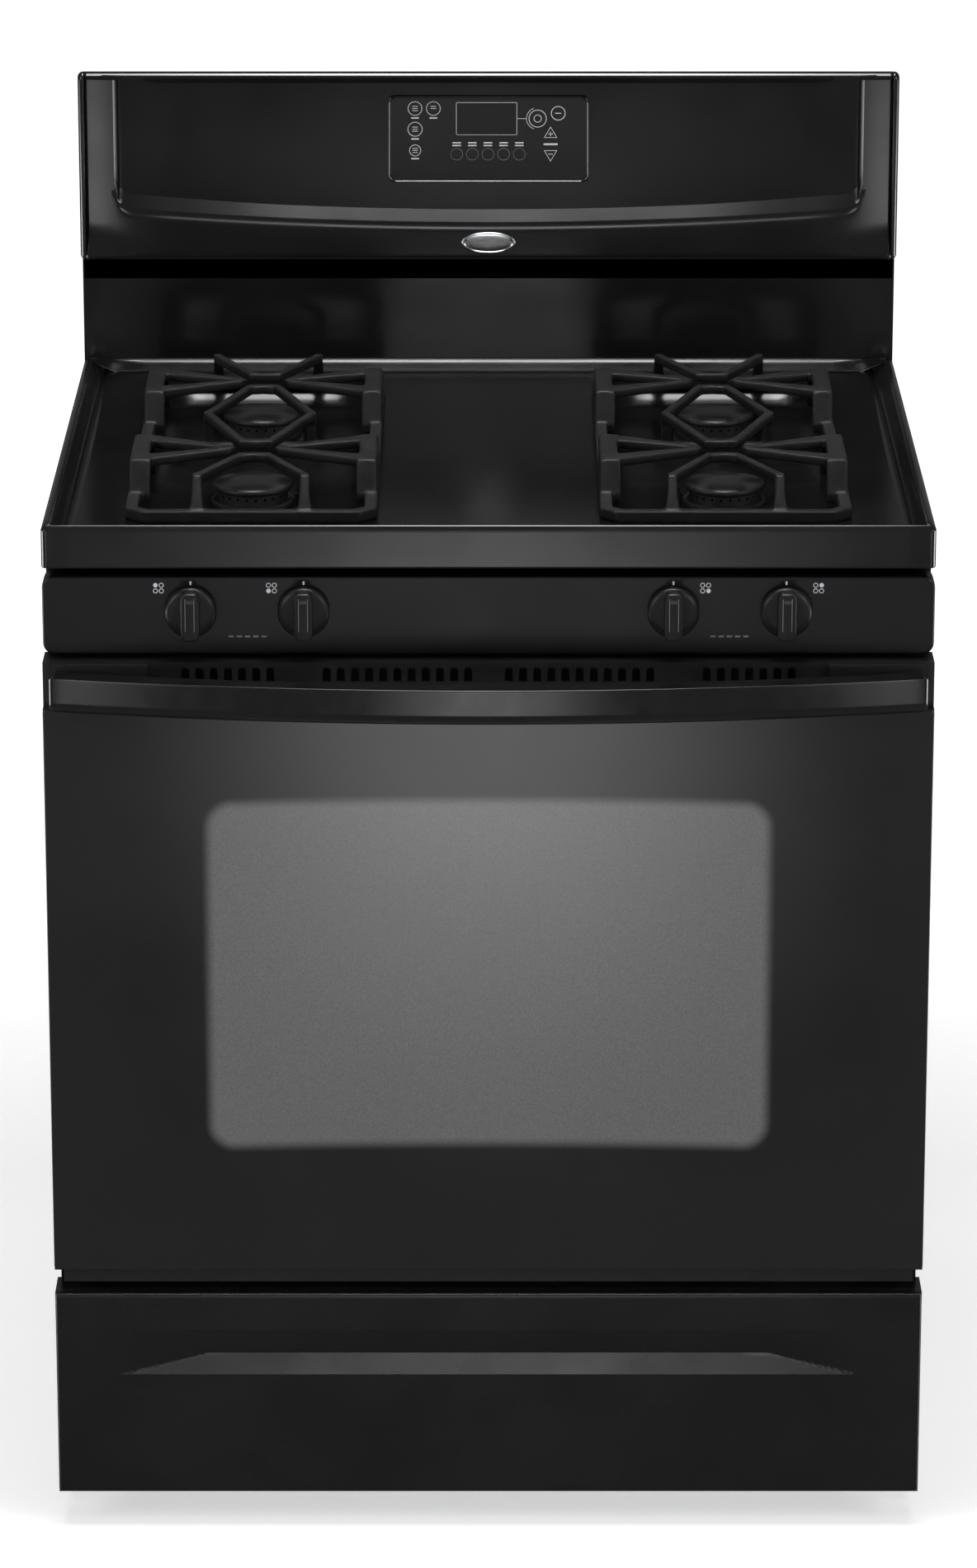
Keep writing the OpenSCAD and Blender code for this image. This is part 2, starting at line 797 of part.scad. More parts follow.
// Steel channels round the door; the bottom rail shows under the glass
module door_frame() color("#232325") {
    difference() {
        union() {
            both_sides() {
                block(half_w - steel, half_w, frame_y0, frame_y1, glass_z0 - 2, glass_z1);
                block(half_w - 13, half_w, frame_y0, frame_y0 + steel, glass_z0 - 2, glass_z1);
                block(half_w - 13, half_w, frame_y1 - steel, frame_y1, glass_z0 - 2, glass_z1);
            }
            block(-half_w, half_w, frame_y0, frame_y1, glass_z1 - steel, glass_z1);
            block(-half_w, half_w, y_face + 6, frame_y0 + 21, glass_z0 - 2, glass_z0 - 0.5);
            block(-371.6, 371.6, y_face + 6, y_face + 7.5, door_z0, glass_z0 - 0.5);
            block(-371.6, 371.6, y_face + 6, frame_y0 + 21, door_z0, door_z0 + steel);
        }
        both_sides()
            block(slot_x0, slot_x1, hinge_y - 10, y_body, door_z0 - 5, glass_z0 + 5);
    }
}

// Inner pan of the door, raised in the middle, with the window and the hinge slots
module door_liner() color("#3b3d42") difference() {
    rear = y_body - 6;
    crown = y_body - 1.2;
    union() {
        along_y(rear - sheet, rear)
            round_rect(-370, 370, 247, 740, 6);
        along_y(rear - sheet, crown)
            round_rect(-288, 288, 320, 716, 10);
    }
    along_y(rear - 6, crown - sheet)
        round_rect(-288 + sheet, 288 - sheet, 320 + sheet, 716 - sheet, 9);
    along_y(rear - 6, crown + 6)
        round_rect(-window_w / 2, window_w / 2, window_z0, window_z1, 18);
    both_sides()
        block(slot_x0 - 1, slot_x1 + 1, rear - 6, rear + 6, 240, 276);
}

// Two panes behind the window
module door_inner_glass() color("#9aa4a8", 0.35)
    for (y = [y_body - 27, y_body - 12])
        along_y(y, y + 3.5)
            round_rect(-window_w / 2 - 10, window_w / 2 + 10, window_z0 - 10, window_z1 + 10, 10);

// Glass wool between the outer glass and the pan
module door_insulation() color("#d9d3b8") difference() {
    block(-360, 360, frame_y0 + 2, frame_y1 - 2, 252, 740);
    block(-window_w / 2 - 12, window_w / 2 + 12, frame_y0, frame_y1, window_z0 - 12, window_z1 + 12);
    both_sides()
        block(hinge_x - 12, hinge_x + 12, frame_y0, frame_y1, 240, 485);
}

// Channels that hold the hinge pins, open at the rear for the fixed arms
module door_hinges() color("#9a9da0") both_sides() difference() {
    union() {
        for (x = [hinge_x - 8, hinge_x + 5])
            along_x(x, x + 3) {
                translate([hinge_y - 13, hinge_z]) square([24, 217]);
                translate([hinge_y - 11, hinge_z - 13]) square([22, 15]);
            }
        block(hinge_x - 8, hinge_x + 8, hinge_y - 13, hinge_y - 11, hinge_z - 13, 480);
    }
    rod_x(hinge_x - 20, hinge_x + 20, hinge_y, hinge_z, pin_r + 0.06);
}

// Section of the handle: flat front, rounded above, swept back below
module handle_section() {
    bulge = 18;
    mid = 776;
    top = 792;
    fillet = 4;
    translate([handle_r - handle_t, mid]) square([handle_t, top - fillet - mid]);
    translate([handle_r - handle_t, mid]) square([handle_t - fillet, top - mid]);
    translate([handle_r - fillet, top - fillet]) circle(r = fillet);
    translate([handle_r - handle_t, mid - bulge]) square([handle_t - bulge, bulge]);
    intersection() {
        translate([handle_r - bulge, mid]) circle(r = bulge);
        translate([handle_r - bulge, mid - bulge]) square([bulge, bulge]);
    }
}

// Bowed handle with a foot at each end
module door_handle() color("#1a1a1c") {
    sweep = 2 * asin(handle_half / handle_r);
    translate([0, y_handle + handle_r, 0])
    rotate([0, 0, 270 - sweep / 2])
    rotate_extrude(angle = sweep, $fn = 720)
        handle_section();
    both_sides()
        block(345, 372, y_face - 10, y_face + 4, 762, 788);
}

vent_pitch = 12.04;

// Top trim with a row of round-topped vent slots between two raised ends
module door_vent_trim() color("#18181a") difference() {
    front = y_face + 12;
    union() {
        block(-half_w, half_w, front, front + 3, glass_z1, door_z1);
        block(-half_w, half_w, front, frame_y1, door_z1 - 3, door_z1);
        block(-half_w, half_w, frame_y1 - 3, frame_y1, glass_z1, door_z1);
        both_sides() {
            block(290, 371.6, y_face + 4, front + 3, glass_z1, door_z1 - 1);
            block(half_w - 3, half_w, front, frame_y1, glass_z1, door_z1);
        }
    }
    both_sides()
        for (group = [[17.3, 11], [185.7, 7]], i = [0 : group[1] - 1])
            along_y(front - 5, front + 5)
                translate([group[0] + vent_pitch * i, 779]) {
                    translate([-3.4, 0]) square([6.8, 9]);
                    translate([0, 9]) circle(r = 3.4);
                }
}

// ---------------------------------------------------------------- drawer

pull_z0 = 147;
pull_z1 = 188;
pull_half = 285;
pull_depth = 16;

// Profile of the scooped pull, in Y and Z
module pull_profile(grow)
    polygon([
        [y_face - 5, pull_z0 - grow], [y_face, pull_z0 - grow],
        [y_face + pull_depth + grow, pull_z0 + 16 - grow],
        [y_face + pull_depth + grow, pull_z0 + 20],
        [y_face, pull_z1 + grow], [y_face - 5, pull_z1 + grow]
    ]);

// Drawer front: shallow pressed pan with a scooped pull
module drawer_front() color("#19191b") difference() {
    union() {
        difference() {
            along_y(y_face, y_face + 39)
                round_rect(-half_w, half_w, drawer_z0, drawer_z1, 3);
            along_y(y_face + steel, y_face + 45)
                round_rect(-half_w + steel, half_w - steel, drawer_z0 + steel, drawer_z1 - steel, 2);
        }
        intersection() {
            along_x(-pull_half - 2, pull_half + 2) pull_profile(2);
            block(-half_w, half_w, y_face, y_face + 30, 100, 210);
        }
    }
    along_x(-pull_half, pull_half) pull_profile(0);
}

// Tray behind the drawer front, with side flanges that run on the base frame's rails
module drawer_tray() color("#5f6366") {
    front = y_face + 20;
    back = 240;
    difference() {
        block(-tray_x, tray_x, front, back, tray_z0, tray_z1);
        block(-tray_x + sheet, tray_x - sheet, front + sheet, back - sheet, tray_z0 + sheet, tray_z1 + 5);
    }
    both_sides() {
        block(tray_x, 350, front + 42, back, rail_z, rail_z + steel);
        block(tray_x - sheet, half_w - steel, front, front + 12, tray_z0, tray_z0 + sheet);
        block(half_w - steel - 14, half_w - steel, front, front + 12, tray_z0, tray_z1);
    }
}

// ---------------------------------------------------------------- racks

// Wire rack resting on one pair of ledges
module rack(level) color("#c4c6c8") {
    edge = 3;
    wire = 2;
    z = rack_levels[level] + edge;
    half = half_oven - 6;
    y0 = y_body + 12;
    y1 = oven_y1 - 20;
    count = 22;
    for (y = [y0, y1])
        rod_x(-half, half, y, z, edge);
    both_sides() rod_y(half, y0, y1, z, edge);
    for (x = [-half, half], y = [y0, y1])
        translate([x, y, z]) sphere(r = edge);
    for (i = [1 : count])
        rod_y(-half + 2 * half * i / (count + 1), y0, y1, z + 1, wire);
    for (y = [y0 + 140, y0 + 300])
        rod_x(-half, half, y, z - 1, wire);
}

module rack_lower() rack(1);
module rack_upper() rack(3);

// ---------------------------------------------------------------- output

side_panel_left();
side_panel_right();
rear_panel();
base_frame();
oven_liner();
oven_insulation();
oven_floor();
bake_burner();
broil_burner();
oven_igniters();
temperature_probe();
oven_lamp();
door_gasket();
hinge_arms();
gas_manifold();
pressure_regulator();
burner_valves();
burner_bases();
spark_electrodes();
cooktop();
valve_panel();
backguard_panel();
console_fascia();
console_end_caps();
backguard_cover();
control_overlay();
control_board();
badge();
cord_gland();
fasteners();
door_glass();
door_frame();
door_liner();
door_inner_glass();
door_insulation();
door_handle();
door_vent_trim();
door_hinges();
drawer_front();
drawer_tray();
rack_lower();
rack_upper();
grate_left();
grate_right();
burner_cap_front_left();
burner_cap_front_right();
burner_cap_rear_left();
burner_cap_rear_right();
valve_stem_rear_left();
valve_stem_front_left();
valve_stem_front_right();
valve_stem_rear_right();
knob_rear_left();
knob_front_left();
knob_front_right();
knob_rear_right();
leg_front_left();
leg_front_right();
leg_rear_left();
leg_rear_right();
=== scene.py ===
"""Freestanding gas range: the looks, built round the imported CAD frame. Metres throughout."""
import math

import bmesh
import bpy
from mathutils import Matrix, Vector


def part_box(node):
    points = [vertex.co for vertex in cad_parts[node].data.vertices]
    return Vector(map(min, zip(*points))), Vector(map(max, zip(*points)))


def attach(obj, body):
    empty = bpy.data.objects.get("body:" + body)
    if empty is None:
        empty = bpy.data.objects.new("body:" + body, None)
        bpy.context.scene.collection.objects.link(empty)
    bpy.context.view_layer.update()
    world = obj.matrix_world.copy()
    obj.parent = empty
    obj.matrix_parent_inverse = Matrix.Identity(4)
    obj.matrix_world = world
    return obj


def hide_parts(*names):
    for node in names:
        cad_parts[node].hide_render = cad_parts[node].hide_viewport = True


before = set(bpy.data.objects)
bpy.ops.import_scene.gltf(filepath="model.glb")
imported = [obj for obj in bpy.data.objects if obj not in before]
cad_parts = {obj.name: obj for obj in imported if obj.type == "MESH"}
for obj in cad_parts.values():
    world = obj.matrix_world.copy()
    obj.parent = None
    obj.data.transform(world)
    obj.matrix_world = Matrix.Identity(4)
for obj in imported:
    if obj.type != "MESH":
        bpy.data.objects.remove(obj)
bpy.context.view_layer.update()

MM = 0.001
PRINT = 0.15 * MM  # how far a printed mark stands out
SHEET = 1.2 * MM  # thickness of pressed steel
SIDES = {-1: "left", 1: "right"}
PLACES = ("rear_left", "front_left", "front_right", "rear_right")
scene = bpy.context.scene

# ------------------------------------------------------------------ camera

EYE = Vector((0.0, -5.253, 2.293))
PITCH = math.radians(16.45)
LENS = 140.0
SHIFT_Y = -0.1


def make_camera():
    """The camera at the photograph's eye point."""
    data = bpy.data.cameras.new("camera")
    data.sensor_fit = "VERTICAL"
    data.sensor_height = 36.0
    data.lens = LENS
    data.shift_y = SHIFT_Y
    data.clip_end = 200.0
    camera = bpy.data.objects.new("camera", data)
    camera.location = EYE
    camera.rotation_euler = (math.radians(90) - PITCH, 0.0, 0.0)
    scene.collection.objects.link(camera)
    scene.camera = camera


# --------------------------------------------------------------- materials

def new_material(name):
    """A new material, its node tree and its shader."""
    mat = bpy.data.materials.new(name)
    mat.use_nodes = True
    tree = mat.node_tree
    return mat, tree, tree.nodes["Principled BSDF"]


def feed(tree, made, **values):
    """Sets a node's inputs by name (with _ for a space) or its properties; outputs are linked."""
    for key, value in values.items():
        title = key.replace("_", " ")
        if title not in made.inputs:
            setattr(made, key, value)
        elif isinstance(value, bpy.types.NodeSocket):
            tree.links.new(value, made.inputs[title])
        else:
            made.inputs[title].default_value = value
    return made


def node(tree, kind, **values):
    """A new node, fed with the given values."""
    return feed(tree, tree.nodes.new(kind), **values)


def object_coords(tree):
    """Place on the object, in metres."""
    return node(tree, "ShaderNodeTexCoord").outputs["Object"]


def object_noise(tree, scale, detail=4.0):
    """Noise in object space."""
    return node(tree, "ShaderNodeTexNoise", Scale=scale, Detail=detail,
                Vector=object_coords(tree)).outputs["Fac"]


def map_range(tree, source, start, stop, low, high, kind="LINEAR"):
    """Spreads start..stop of source over low..high."""
    return node(tree, "ShaderNodeMapRange", interpolation_type=kind, Value=source, From_Min=start,
                From_Max=stop, To_Min=low, To_Max=high).outputs["Result"]


def ramp(tree, source, low, high, start=0.35, stop=0.65):
    """Spreads source over two colours, or over two numbers."""
    if not isinstance(low, tuple):
        return map_range(tree, source, start, stop, low, high)
    made = node(tree, "ShaderNodeValToRGB", Fac=source)
    for element, position, color in zip(made.color_ramp.elements, (start, stop), (low, high)):
        element.position = position
        element.color = (*color, 1.0)
    return made.outputs["Color"]


def bumped(tree, source, strength, distance):
    """The normals of a bump with the given height in metres."""
    return node(tree, "ShaderNodeBump", Strength=strength, Distance=distance,
                Height=source).outputs["Normal"]


def coated(name, dark, light, rough, metal=0.0, specular=0.5, grain=60.0, bump=0.0,
           bump_scale=400.0):
    """A surface whose colour and roughness drift a little, with a fine bump."""
    mat, tree, shader = new_material(name)
    drift = object_noise(tree, grain, 5.0)
    feed(tree, shader, Base_Color=ramp(tree, drift, dark, light),
         Roughness=ramp(tree, drift, *rough), Metallic=metal, Specular_IOR_Level=specular)
    if bump:
        feed(tree, shader, Normal=bumped(tree, object_noise(tree, bump_scale, 3.0), bump, 0.0004))
    return mat


def glass_like(name, color, rough, transmission):
    """Clear glass with a faint drift in its tint."""
    mat, tree, shader = new_material(name)
    drift = object_noise(tree, 30.0)
    feed(tree, shader, Base_Color=ramp(tree, drift, color, tuple(c * 1.15 for c in color)),
         Roughness=ramp(tree, drift, rough, rough + 0.04), Transmission_Weight=transmission,
         IOR=1.5)
    return mat


def grey(value):
    """A neutral colour, a hair bluish."""
    return (value, value, value * 1.04)


BLACK = 0.0065  # how much light the black enamel gives back


def make_materials():
    """Every material of the range, by name."""
    m = {}

    def add(name, dark, light, rough, **more):
        """A drifting surface, kept under its name."""
        m[name] = coated(name, dark, light, rough, **more)

    add("enamel", grey(BLACK), grey(BLACK * 1.25), (0.16, 0.21), bump=0.03, bump_scale=220.0,
        grain=12.0)
    add("plate", grey(BLACK * 0.5), grey(BLACK * 0.7), (0.18, 0.23), bump=0.03,
        bump_scale=220.0, grain=12.0, specular=0.2)
    add("panel", grey(BLACK * 0.3), grey(BLACK * 0.4), (0.32, 0.36), bump=0.04,
        bump_scale=500.0, grain=12.0, specular=0.42)
    add("side_paint", grey(0.013), grey(0.017), (0.34, 0.42), bump=0.12, bump_scale=650.0)
    add("console", grey(BLACK * 0.9), grey(BLACK * 1.15), (0.17, 0.2), bump=0.03,
        bump_scale=700.0, grain=15.0)
    add("drawer", grey(BLACK), grey(BLACK * 1.2), (0.24, 0.3), bump=0.04, grain=12.0)
    add("handle", grey(BLACK), grey(BLACK * 1.2), (0.15, 0.19), bump=0.02, bump_scale=600.0)
    add("iron", grey(0.006), grey(0.010), (0.46, 0.56), bump=0.45, bump_scale=900.0,
        grain=90.0, specular=0.22)
    add("cap", grey(0.006), grey(0.010), (0.4, 0.48), bump=0.25, bump_scale=900.0, grain=80.0,
        specular=0.3)
    add("knob", grey(BLACK * 1.1), grey(BLACK * 1.4), (0.36, 0.42), bump=0.05,
        bump_scale=900.0, specular=0.28)
    add("trim", grey(BLACK), grey(BLACK * 1.2), (0.34, 0.42), bump=0.08, bump_scale=900.0)
    add("cavity", (0.02, 0.022, 0.03), (0.06, 0.065, 0.08), (0.22, 0.34),
        grain=900.0, bump=0.05, bump_scale=300.0)
    add("zinc", (0.42, 0.43, 0.45), (0.56, 0.57, 0.59), (0.36, 0.5), metal=1.0,
        grain=28.0, bump=0.1, bump_scale=60.0)
    add("screw", (0.5, 0.51, 0.53), (0.68, 0.69, 0.71), (0.28, 0.36), metal=1.0)
    add("pipe", (0.4, 0.4, 0.42), (0.52, 0.53, 0.55), (0.34, 0.45), metal=1.0)
    add("burner_steel", (0.2, 0.19, 0.19), (0.36, 0.34, 0.32), (0.38, 0.5), metal=1.0, grain=40.0)
    add("burner_base", grey(0.012), grey(0.02), (0.45, 0.55), grain=120.0,
        bump=0.3, bump_scale=900.0, specular=0.3)
    add("brass", (0.58, 0.43, 0.19), (0.72, 0.55, 0.28), (0.28, 0.38), metal=1.0)
    add("wool", (0.55, 0.48, 0.28), (0.78, 0.72, 0.5), (0.9, 1.0), grain=140.0, bump=1.0,
        bump_scale=260.0)
    add("ceramic", (0.74, 0.71, 0.65), (0.86, 0.84, 0.79), (0.45, 0.6))
    add("rubber", grey(0.014), grey(0.022), (0.6, 0.75), bump=0.2)
    add("leg", grey(0.02), grey(0.035), (0.5, 0.62), bump=0.2)
    add("board", (0.02, 0.13, 0.05), (0.04, 0.2, 0.08), (0.35, 0.5), grain=200.0)
    add("chrome", (0.62, 0.63, 0.65), (0.75, 0.76, 0.78), (0.12, 0.2), metal=1.0)
    add("badge", (0.6, 0.61, 0.62), (0.7, 0.71, 0.72), (0.24, 0.3), metal=1.0, grain=20.0)
    m["gasket"] = gasket_material()
    m["lamp"] = glass_like("lamp_glass", (0.9, 0.88, 0.8), 0.08, 0.85)
    m["pane"] = glass_like("pane", (0.75, 0.8, 0.8), 0.03, 0.9)
    add("print", (0.52, 0.53, 0.55), (0.6, 0.61, 0.63), (0.5, 0.6))
    # dim print; also the painted highlight lines on the knob grips
    add("dim_print_and_highlight", (0.13, 0.13, 0.14), (0.18, 0.18, 0.19), (0.5, 0.6))
    # painted highlight: the faint patch at the top of each knob grip
    add("painted_highlight_faint", (0.028, 0.028, 0.03), (0.04, 0.04, 0.042), (0.5, 0.6))
    add("film", grey(0.006), grey(0.008), (0.3, 0.36), bump=0.1, bump_scale=1200.0)
    add("display", grey(0.003), grey(0.0035), (0.3, 0.32), grain=8.0)
    # painted shade: matte black that stands for the shade inside the backguard's vent slot
    add("painted_shade", grey(0.001), grey(0.0015), (0.8, 0.9), specular=0.0)
    m["door_glass"] = door_glass_material()
    return m


def gasket_material():
    """Braided glass fibre: two crossing waves."""
    mat, tree, shader = new_material("gasket")
    coords = object_coords(tree)
    mixed = node(tree, "ShaderNodeMath", operation="MAXIMUM")
    for turn, target in zip((0.8, -0.8), mixed.inputs):
        turned = node(tree, "ShaderNodeMapping", Vector=coords, Rotation=(turn, turn, turn))
        wave = node(tree, "ShaderNodeTexWave", Scale=180.0, Distortion=0.4,
                    Vector=turned.outputs["Vector"])
        tree.links.new(wave.outputs["Fac"], target)
    braid = mixed.outputs[0]
    feed(tree, shader, Base_Color=ramp(tree, braid, grey(0.03), grey(0.1), 0.2, 0.9),
         Roughness=0.85, Normal=bumped(tree, braid, 0.8, 0.001))
    return mat


def door_glass_material():
    """Black back-printed glass with a window of fine dots that fade out at its edge."""
    mat, tree, shader = new_material("door_glass")
    low, high = WINDOW
    middle = (low + high) / 2
    half = (high - low) / 2
    corner, fade = 26 * MM, 11 * MM

    def math_node(operation, a, b=0.0):
        """The output of one sum; a and b are numbers or outputs."""
        made = node(tree, "ShaderNodeMath", operation=operation)
        for socket, value in zip(made.inputs, (a, b)):
            if isinstance(value, float):
                socket.default_value = value
            else:
                tree.links.new(value, socket)
        return made.outputs[0]

    split = node(tree, "ShaderNodeSeparateXYZ", Vector=object_coords(tree)).outputs
    # distance outside a round-cornered rectangle, negative inside; the top edge is bowed
    bow = math_node("MULTIPLY", math_node("POWER", split["X"], 2.0), 0.06)
    rise = math_node("ADD", split["Z"], bow)
    qx = math_node("SUBTRACT", math_node("ABSOLUTE", split["X"]), half.x - corner)
    qz = math_node("SUBTRACT", math_node("ABSOLUTE", math_node("SUBTRACT", rise, middle.z)),
                   half.z - corner)
    outer = math_node("SQRT", math_node("ADD",
                      math_node("POWER", math_node("MAXIMUM", qx, 0.0), 2.0),
                      math_node("POWER", math_node("MAXIMUM", qz, 0.0), 2.0)))
    inner = math_node("MINIMUM", math_node("MAXIMUM", qx, qz), 0.0)
    distance = math_node("SUBTRACT", math_node("ADD", outer, inner), corner)
    inside = map_range(tree, distance, 2 * MM, -fade, 0.0, 1.0, "SMOOTHSTEP")
    dots = map_range(tree, object_noise(tree, 700.0, 2.0), 0.3, 0.7, 0.11, 0.142)
    drift = object_noise(tree, 8.0)
    mix = node(tree, "ShaderNodeMix", data_type="RGBA", Factor=inside)
    side_a, side_b, mixed = mix.inputs[6], mix.inputs[7], mix.outputs[2]
    tree.links.new(ramp(tree, drift, grey(BLACK * 2.0), grey(BLACK * 2.3), 0.0, 1.0), side_a)
    tree.links.new(dots, side_b)
    feed(tree, shader, Base_Color=mixed, Roughness=ramp(tree, drift, 0.13, 0.16))
    return mat


# ------------------------------------------------------------- mesh helpers

def add_object(name, verts, faces, material, body, slot=None, replaced=(), smooth=True, angle=40):
    """A mesh object that rides on a body and may stand for CAD nodes."""
    mesh = bpy.data.meshes.new(name)
    mesh.from_pydata([tuple(v) for v in verts], [], faces)
    mesh.validate()
    bm = bmesh.new()
    bm.from_mesh(mesh)
    bmesh.ops.remove_doubles(bm, verts=bm.verts, dist=1e-6)
    bmesh.ops.recalc_face_normals(bm, faces=bm.faces)
    bm.to_mesh(mesh)
    bm.free()
    mesh.materials.append(material)
    return place(name, mesh, body, slot, replaced, smooth, angle)


def place(name, mesh, body, slot=None, replaced=(), smooth=True, angle=40):
    """Puts a mesh into the scene, hangs it on its body and hides the CAD nodes that it stands for.
    """
    obj = bpy.data.objects.new(name, mesh)
    scene.collection.objects.link(obj)
    if smooth:
        mesh.shade_smooth()
        mesh.set_sharp_from_angle(angle=math.radians(angle))
    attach(obj, body)
    if replaced:
        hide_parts(*replaced)
    return obj


def loft(rings, closed=True, cap_start=True, cap_end=True):
    """Vertices and faces of a skin over rings of equal length."""
    count = len(rings[0])
    verts = [p for ring in rings for p in ring]
    faces = []
    last = count if closed else count - 1
    for r in range(len(rings) - 1):
        for i in range(last):
            j = (i + 1) % count
            a, b = r * count, (r + 1) * count
            faces.append((a + i, a + j, b + j, b + i))
    if cap_start:
        faces.append(tuple(reversed(range(count))))
    if cap_end:
        faces.append(tuple(range((len(rings) - 1) * count, len(rings) * count)))
    return verts, faces


def skin(name, rings, material, body, slot=None, replaced=(), angle=40, smooth=True, closed=True,
         caps=True):
    """A piece lofted over rings; caps closes both of its ends."""
    verts, faces = loft(rings, closed, caps, caps)
    return add_object(name, verts, faces, material, body, slot, replaced, smooth, angle)


def round_rect(x0, x1, z0, z1, radius, steps=6):
    """Points of a round-cornered rectangle, anticlockwise seen from the front."""
    radius = max(radius, 1e-5)
    points = []
    corners = ((x1 - radius, z1 - radius, 0), (x0 + radius, z1 - radius, 90),
               (x0 + radius, z0 + radius, 180), (x1 - radius, z0 + radius, 270))
    for cx, cz, start in corners:
        for i in range(steps + 1):
            a = math.radians(start + 90 * i / steps)
            points.append((cx + radius * math.cos(a), cz + radius * math.sin(a)))
    return points


def slab_rings(outline, y_back, y_front, fillet, steps=4):
    """Rings from the back to the front of a plate whose front edge is rounded.
    outline(inset) gives X and Z points."""
    rings = [[(x, y_back, z) for x, z in outline(0.0)]]
    for i in range(steps + 1):
        a = math.radians(90 * i / steps)
        inset = fillet * (1 - math.cos(a))
        y = y_front + fillet * (1 - math.sin(a))
        rings.append([(x, y, z) for x, z in outline(inset)])
    # a narrow flat margin keeps the shading of the face flat
    rings.append([(x, y_front, z) for x, z in outline(fillet * 1.3)])
    return rings


def plate(name, box, corner, depths, fillet, steps, material, body, slot=None, replaced=(),
          angle=40, smooth=True, concentric=False):
    """A round-cornered plate with a rounded front edge.
    box is x0, x1, z0, z1; depths is back and front; steps is for the corners and for the edge."""
    x0, x1, z0, z1 = box

    def outline(inset):
        radius = corner - inset if concentric else corner
        return round_rect(x0 + inset, x1 - inset, z0 + inset, z1 - inset, radius, steps[0])

    skin(name, slab_rings(outline, *depths, fillet, steps[1]), material, body, slot, replaced,
         angle, smooth)


def lathe(profile, origin, axis_y=False, steps=64):
    """Rings round the Z axis, or round -Y: profile is radius and height."""
    rings = []
    for radius, height in profile:
        ring = []
        for i in range(steps):
            a = 2 * math.pi * i / steps
            x, y = radius * math.cos(a), radius * math.sin(a)
            point = Vector((x, -height, y)) if axis_y else Vector((x, y, height))
            ring.append(origin + point)
        rings.append(ring)
    return rings


def arc(cx, cz, radius, start, stop, steps):
    """Points on an arc, angles in degrees."""
    points = []
    for i in range(steps + 1):
        a = math.radians(start + (stop - start) * i / steps)
        points.append((cx + radius * math.cos(a), cz + radius * math.sin(a)))
    return points


def spread(a, b, count):
    """Evenly spaced values from a to b, both included."""
    return [a + (b - a) * i / (count - 1) for i in range(count)]


def smooth_step(t):
    """0 to 1 with a soft start and end."""
    t = max(0.0, min(1.0, t))
    return t * t * (3 - 2 * t)


def shell(obj, thickness=SHEET):
    """Gives an open skin its sheet thickness, inwards."""
    mod = obj.modifiers.new("thickness", "SOLIDIFY")
    mod.thickness = thickness
    mod.offset = -1.0


def pressed(name, rings, material, body, slot, replaced, angle, thickness=SHEET):
    """An open sheet lofted over rings."""
    obj = skin(name, rings, material, body, slot, replaced, angle, closed=False, caps=False)
    shell(obj, thickness)


# ------------------------------------------------------------ CAD node looks

CAD_LOOKS = {
    "side_paint": ["side_panel_left", "side_panel_right"],
    "zinc": ["rear_panel", "backguard_cover", "base_frame", "drawer_tray", "hinge_arms",
             "door_hinges"],
    "screw": ["fasteners"],
    "cavity": ["oven_liner", "oven_floor", "door_liner"],
    "wool": ["oven_insulation", "door_insulation"],
    "burner_steel": ["bake_burner", "broil_burner", "temperature_probe"],
    "ceramic": ["oven_igniters"],
    "lamp": ["oven_lamp"],
    "pipe": ["gas_manifold", "pressure_regulator"],
    "brass": ["burner_valves", *("valve_stem_" + spot for spot in PLACES)],
    "burner_base": ["burner_bases", "spark_electrodes"],
    "board": ["control_board"],
    "rubber": ["cord_gland"],
    "pane": ["door_inner_glass"],
    "trim": ["door_frame", "door_vent_trim"],
    "enamel": ["backguard_panel"],
    "chrome": ["rack_lower", "rack_upper"],
    "leg": ["leg_" + spot for spot in PLACES],
}
CAD_BEVELS = {"side_panel_left": 0.4, "side_panel_right": 0.4, "door_vent_trim": 0.8,
              "backguard_panel": 0.7, "backguard_cover": 0.5}


def dress_cad(materials):
    """Materials, painted shade in the backguard's vent slot, smooth shading and small edge rounds
    on the CAD nodes that stay.
    """
    for look, names in CAD_LOOKS.items():
        for name in names:
            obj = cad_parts[name]
            obj.data.materials.clear()
            obj.data.materials.append(materials[look])
            obj.data.shade_smooth()
            obj.data.set_sharp_from_angle(angle=math.radians(35))
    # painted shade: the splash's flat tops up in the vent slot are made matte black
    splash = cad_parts["backguard_panel"]
    splash.data.materials.append(materials["painted_shade"])
    shelf_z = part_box("console_fascia")[0].z - 30 * MM
    for face in splash.data.polygons:
        centre = splash.matrix_world @ face.center
        if face.normal.z > 0.9 and centre.z > shelf_z:
            face.material_index = 1
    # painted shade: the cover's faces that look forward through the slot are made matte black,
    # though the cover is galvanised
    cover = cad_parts["backguard_cover"]
    cover.data.materials.append(materials["painted_shade"])
    for face in cover.data.polygons:
        if face.normal.y < -0.5:
            face.material_index = 1
    for name, size in CAD_BEVELS.items():
        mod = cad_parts[name].modifiers.new("edge", "BEVEL")
        mod.width = size * MM
        mod.segments = 2
        mod.harden_normals = True
        mod.limit_method = "ANGLE"
        mod.angle_limit = math.radians(50)


# ---------------------------------------------------------------- backguard

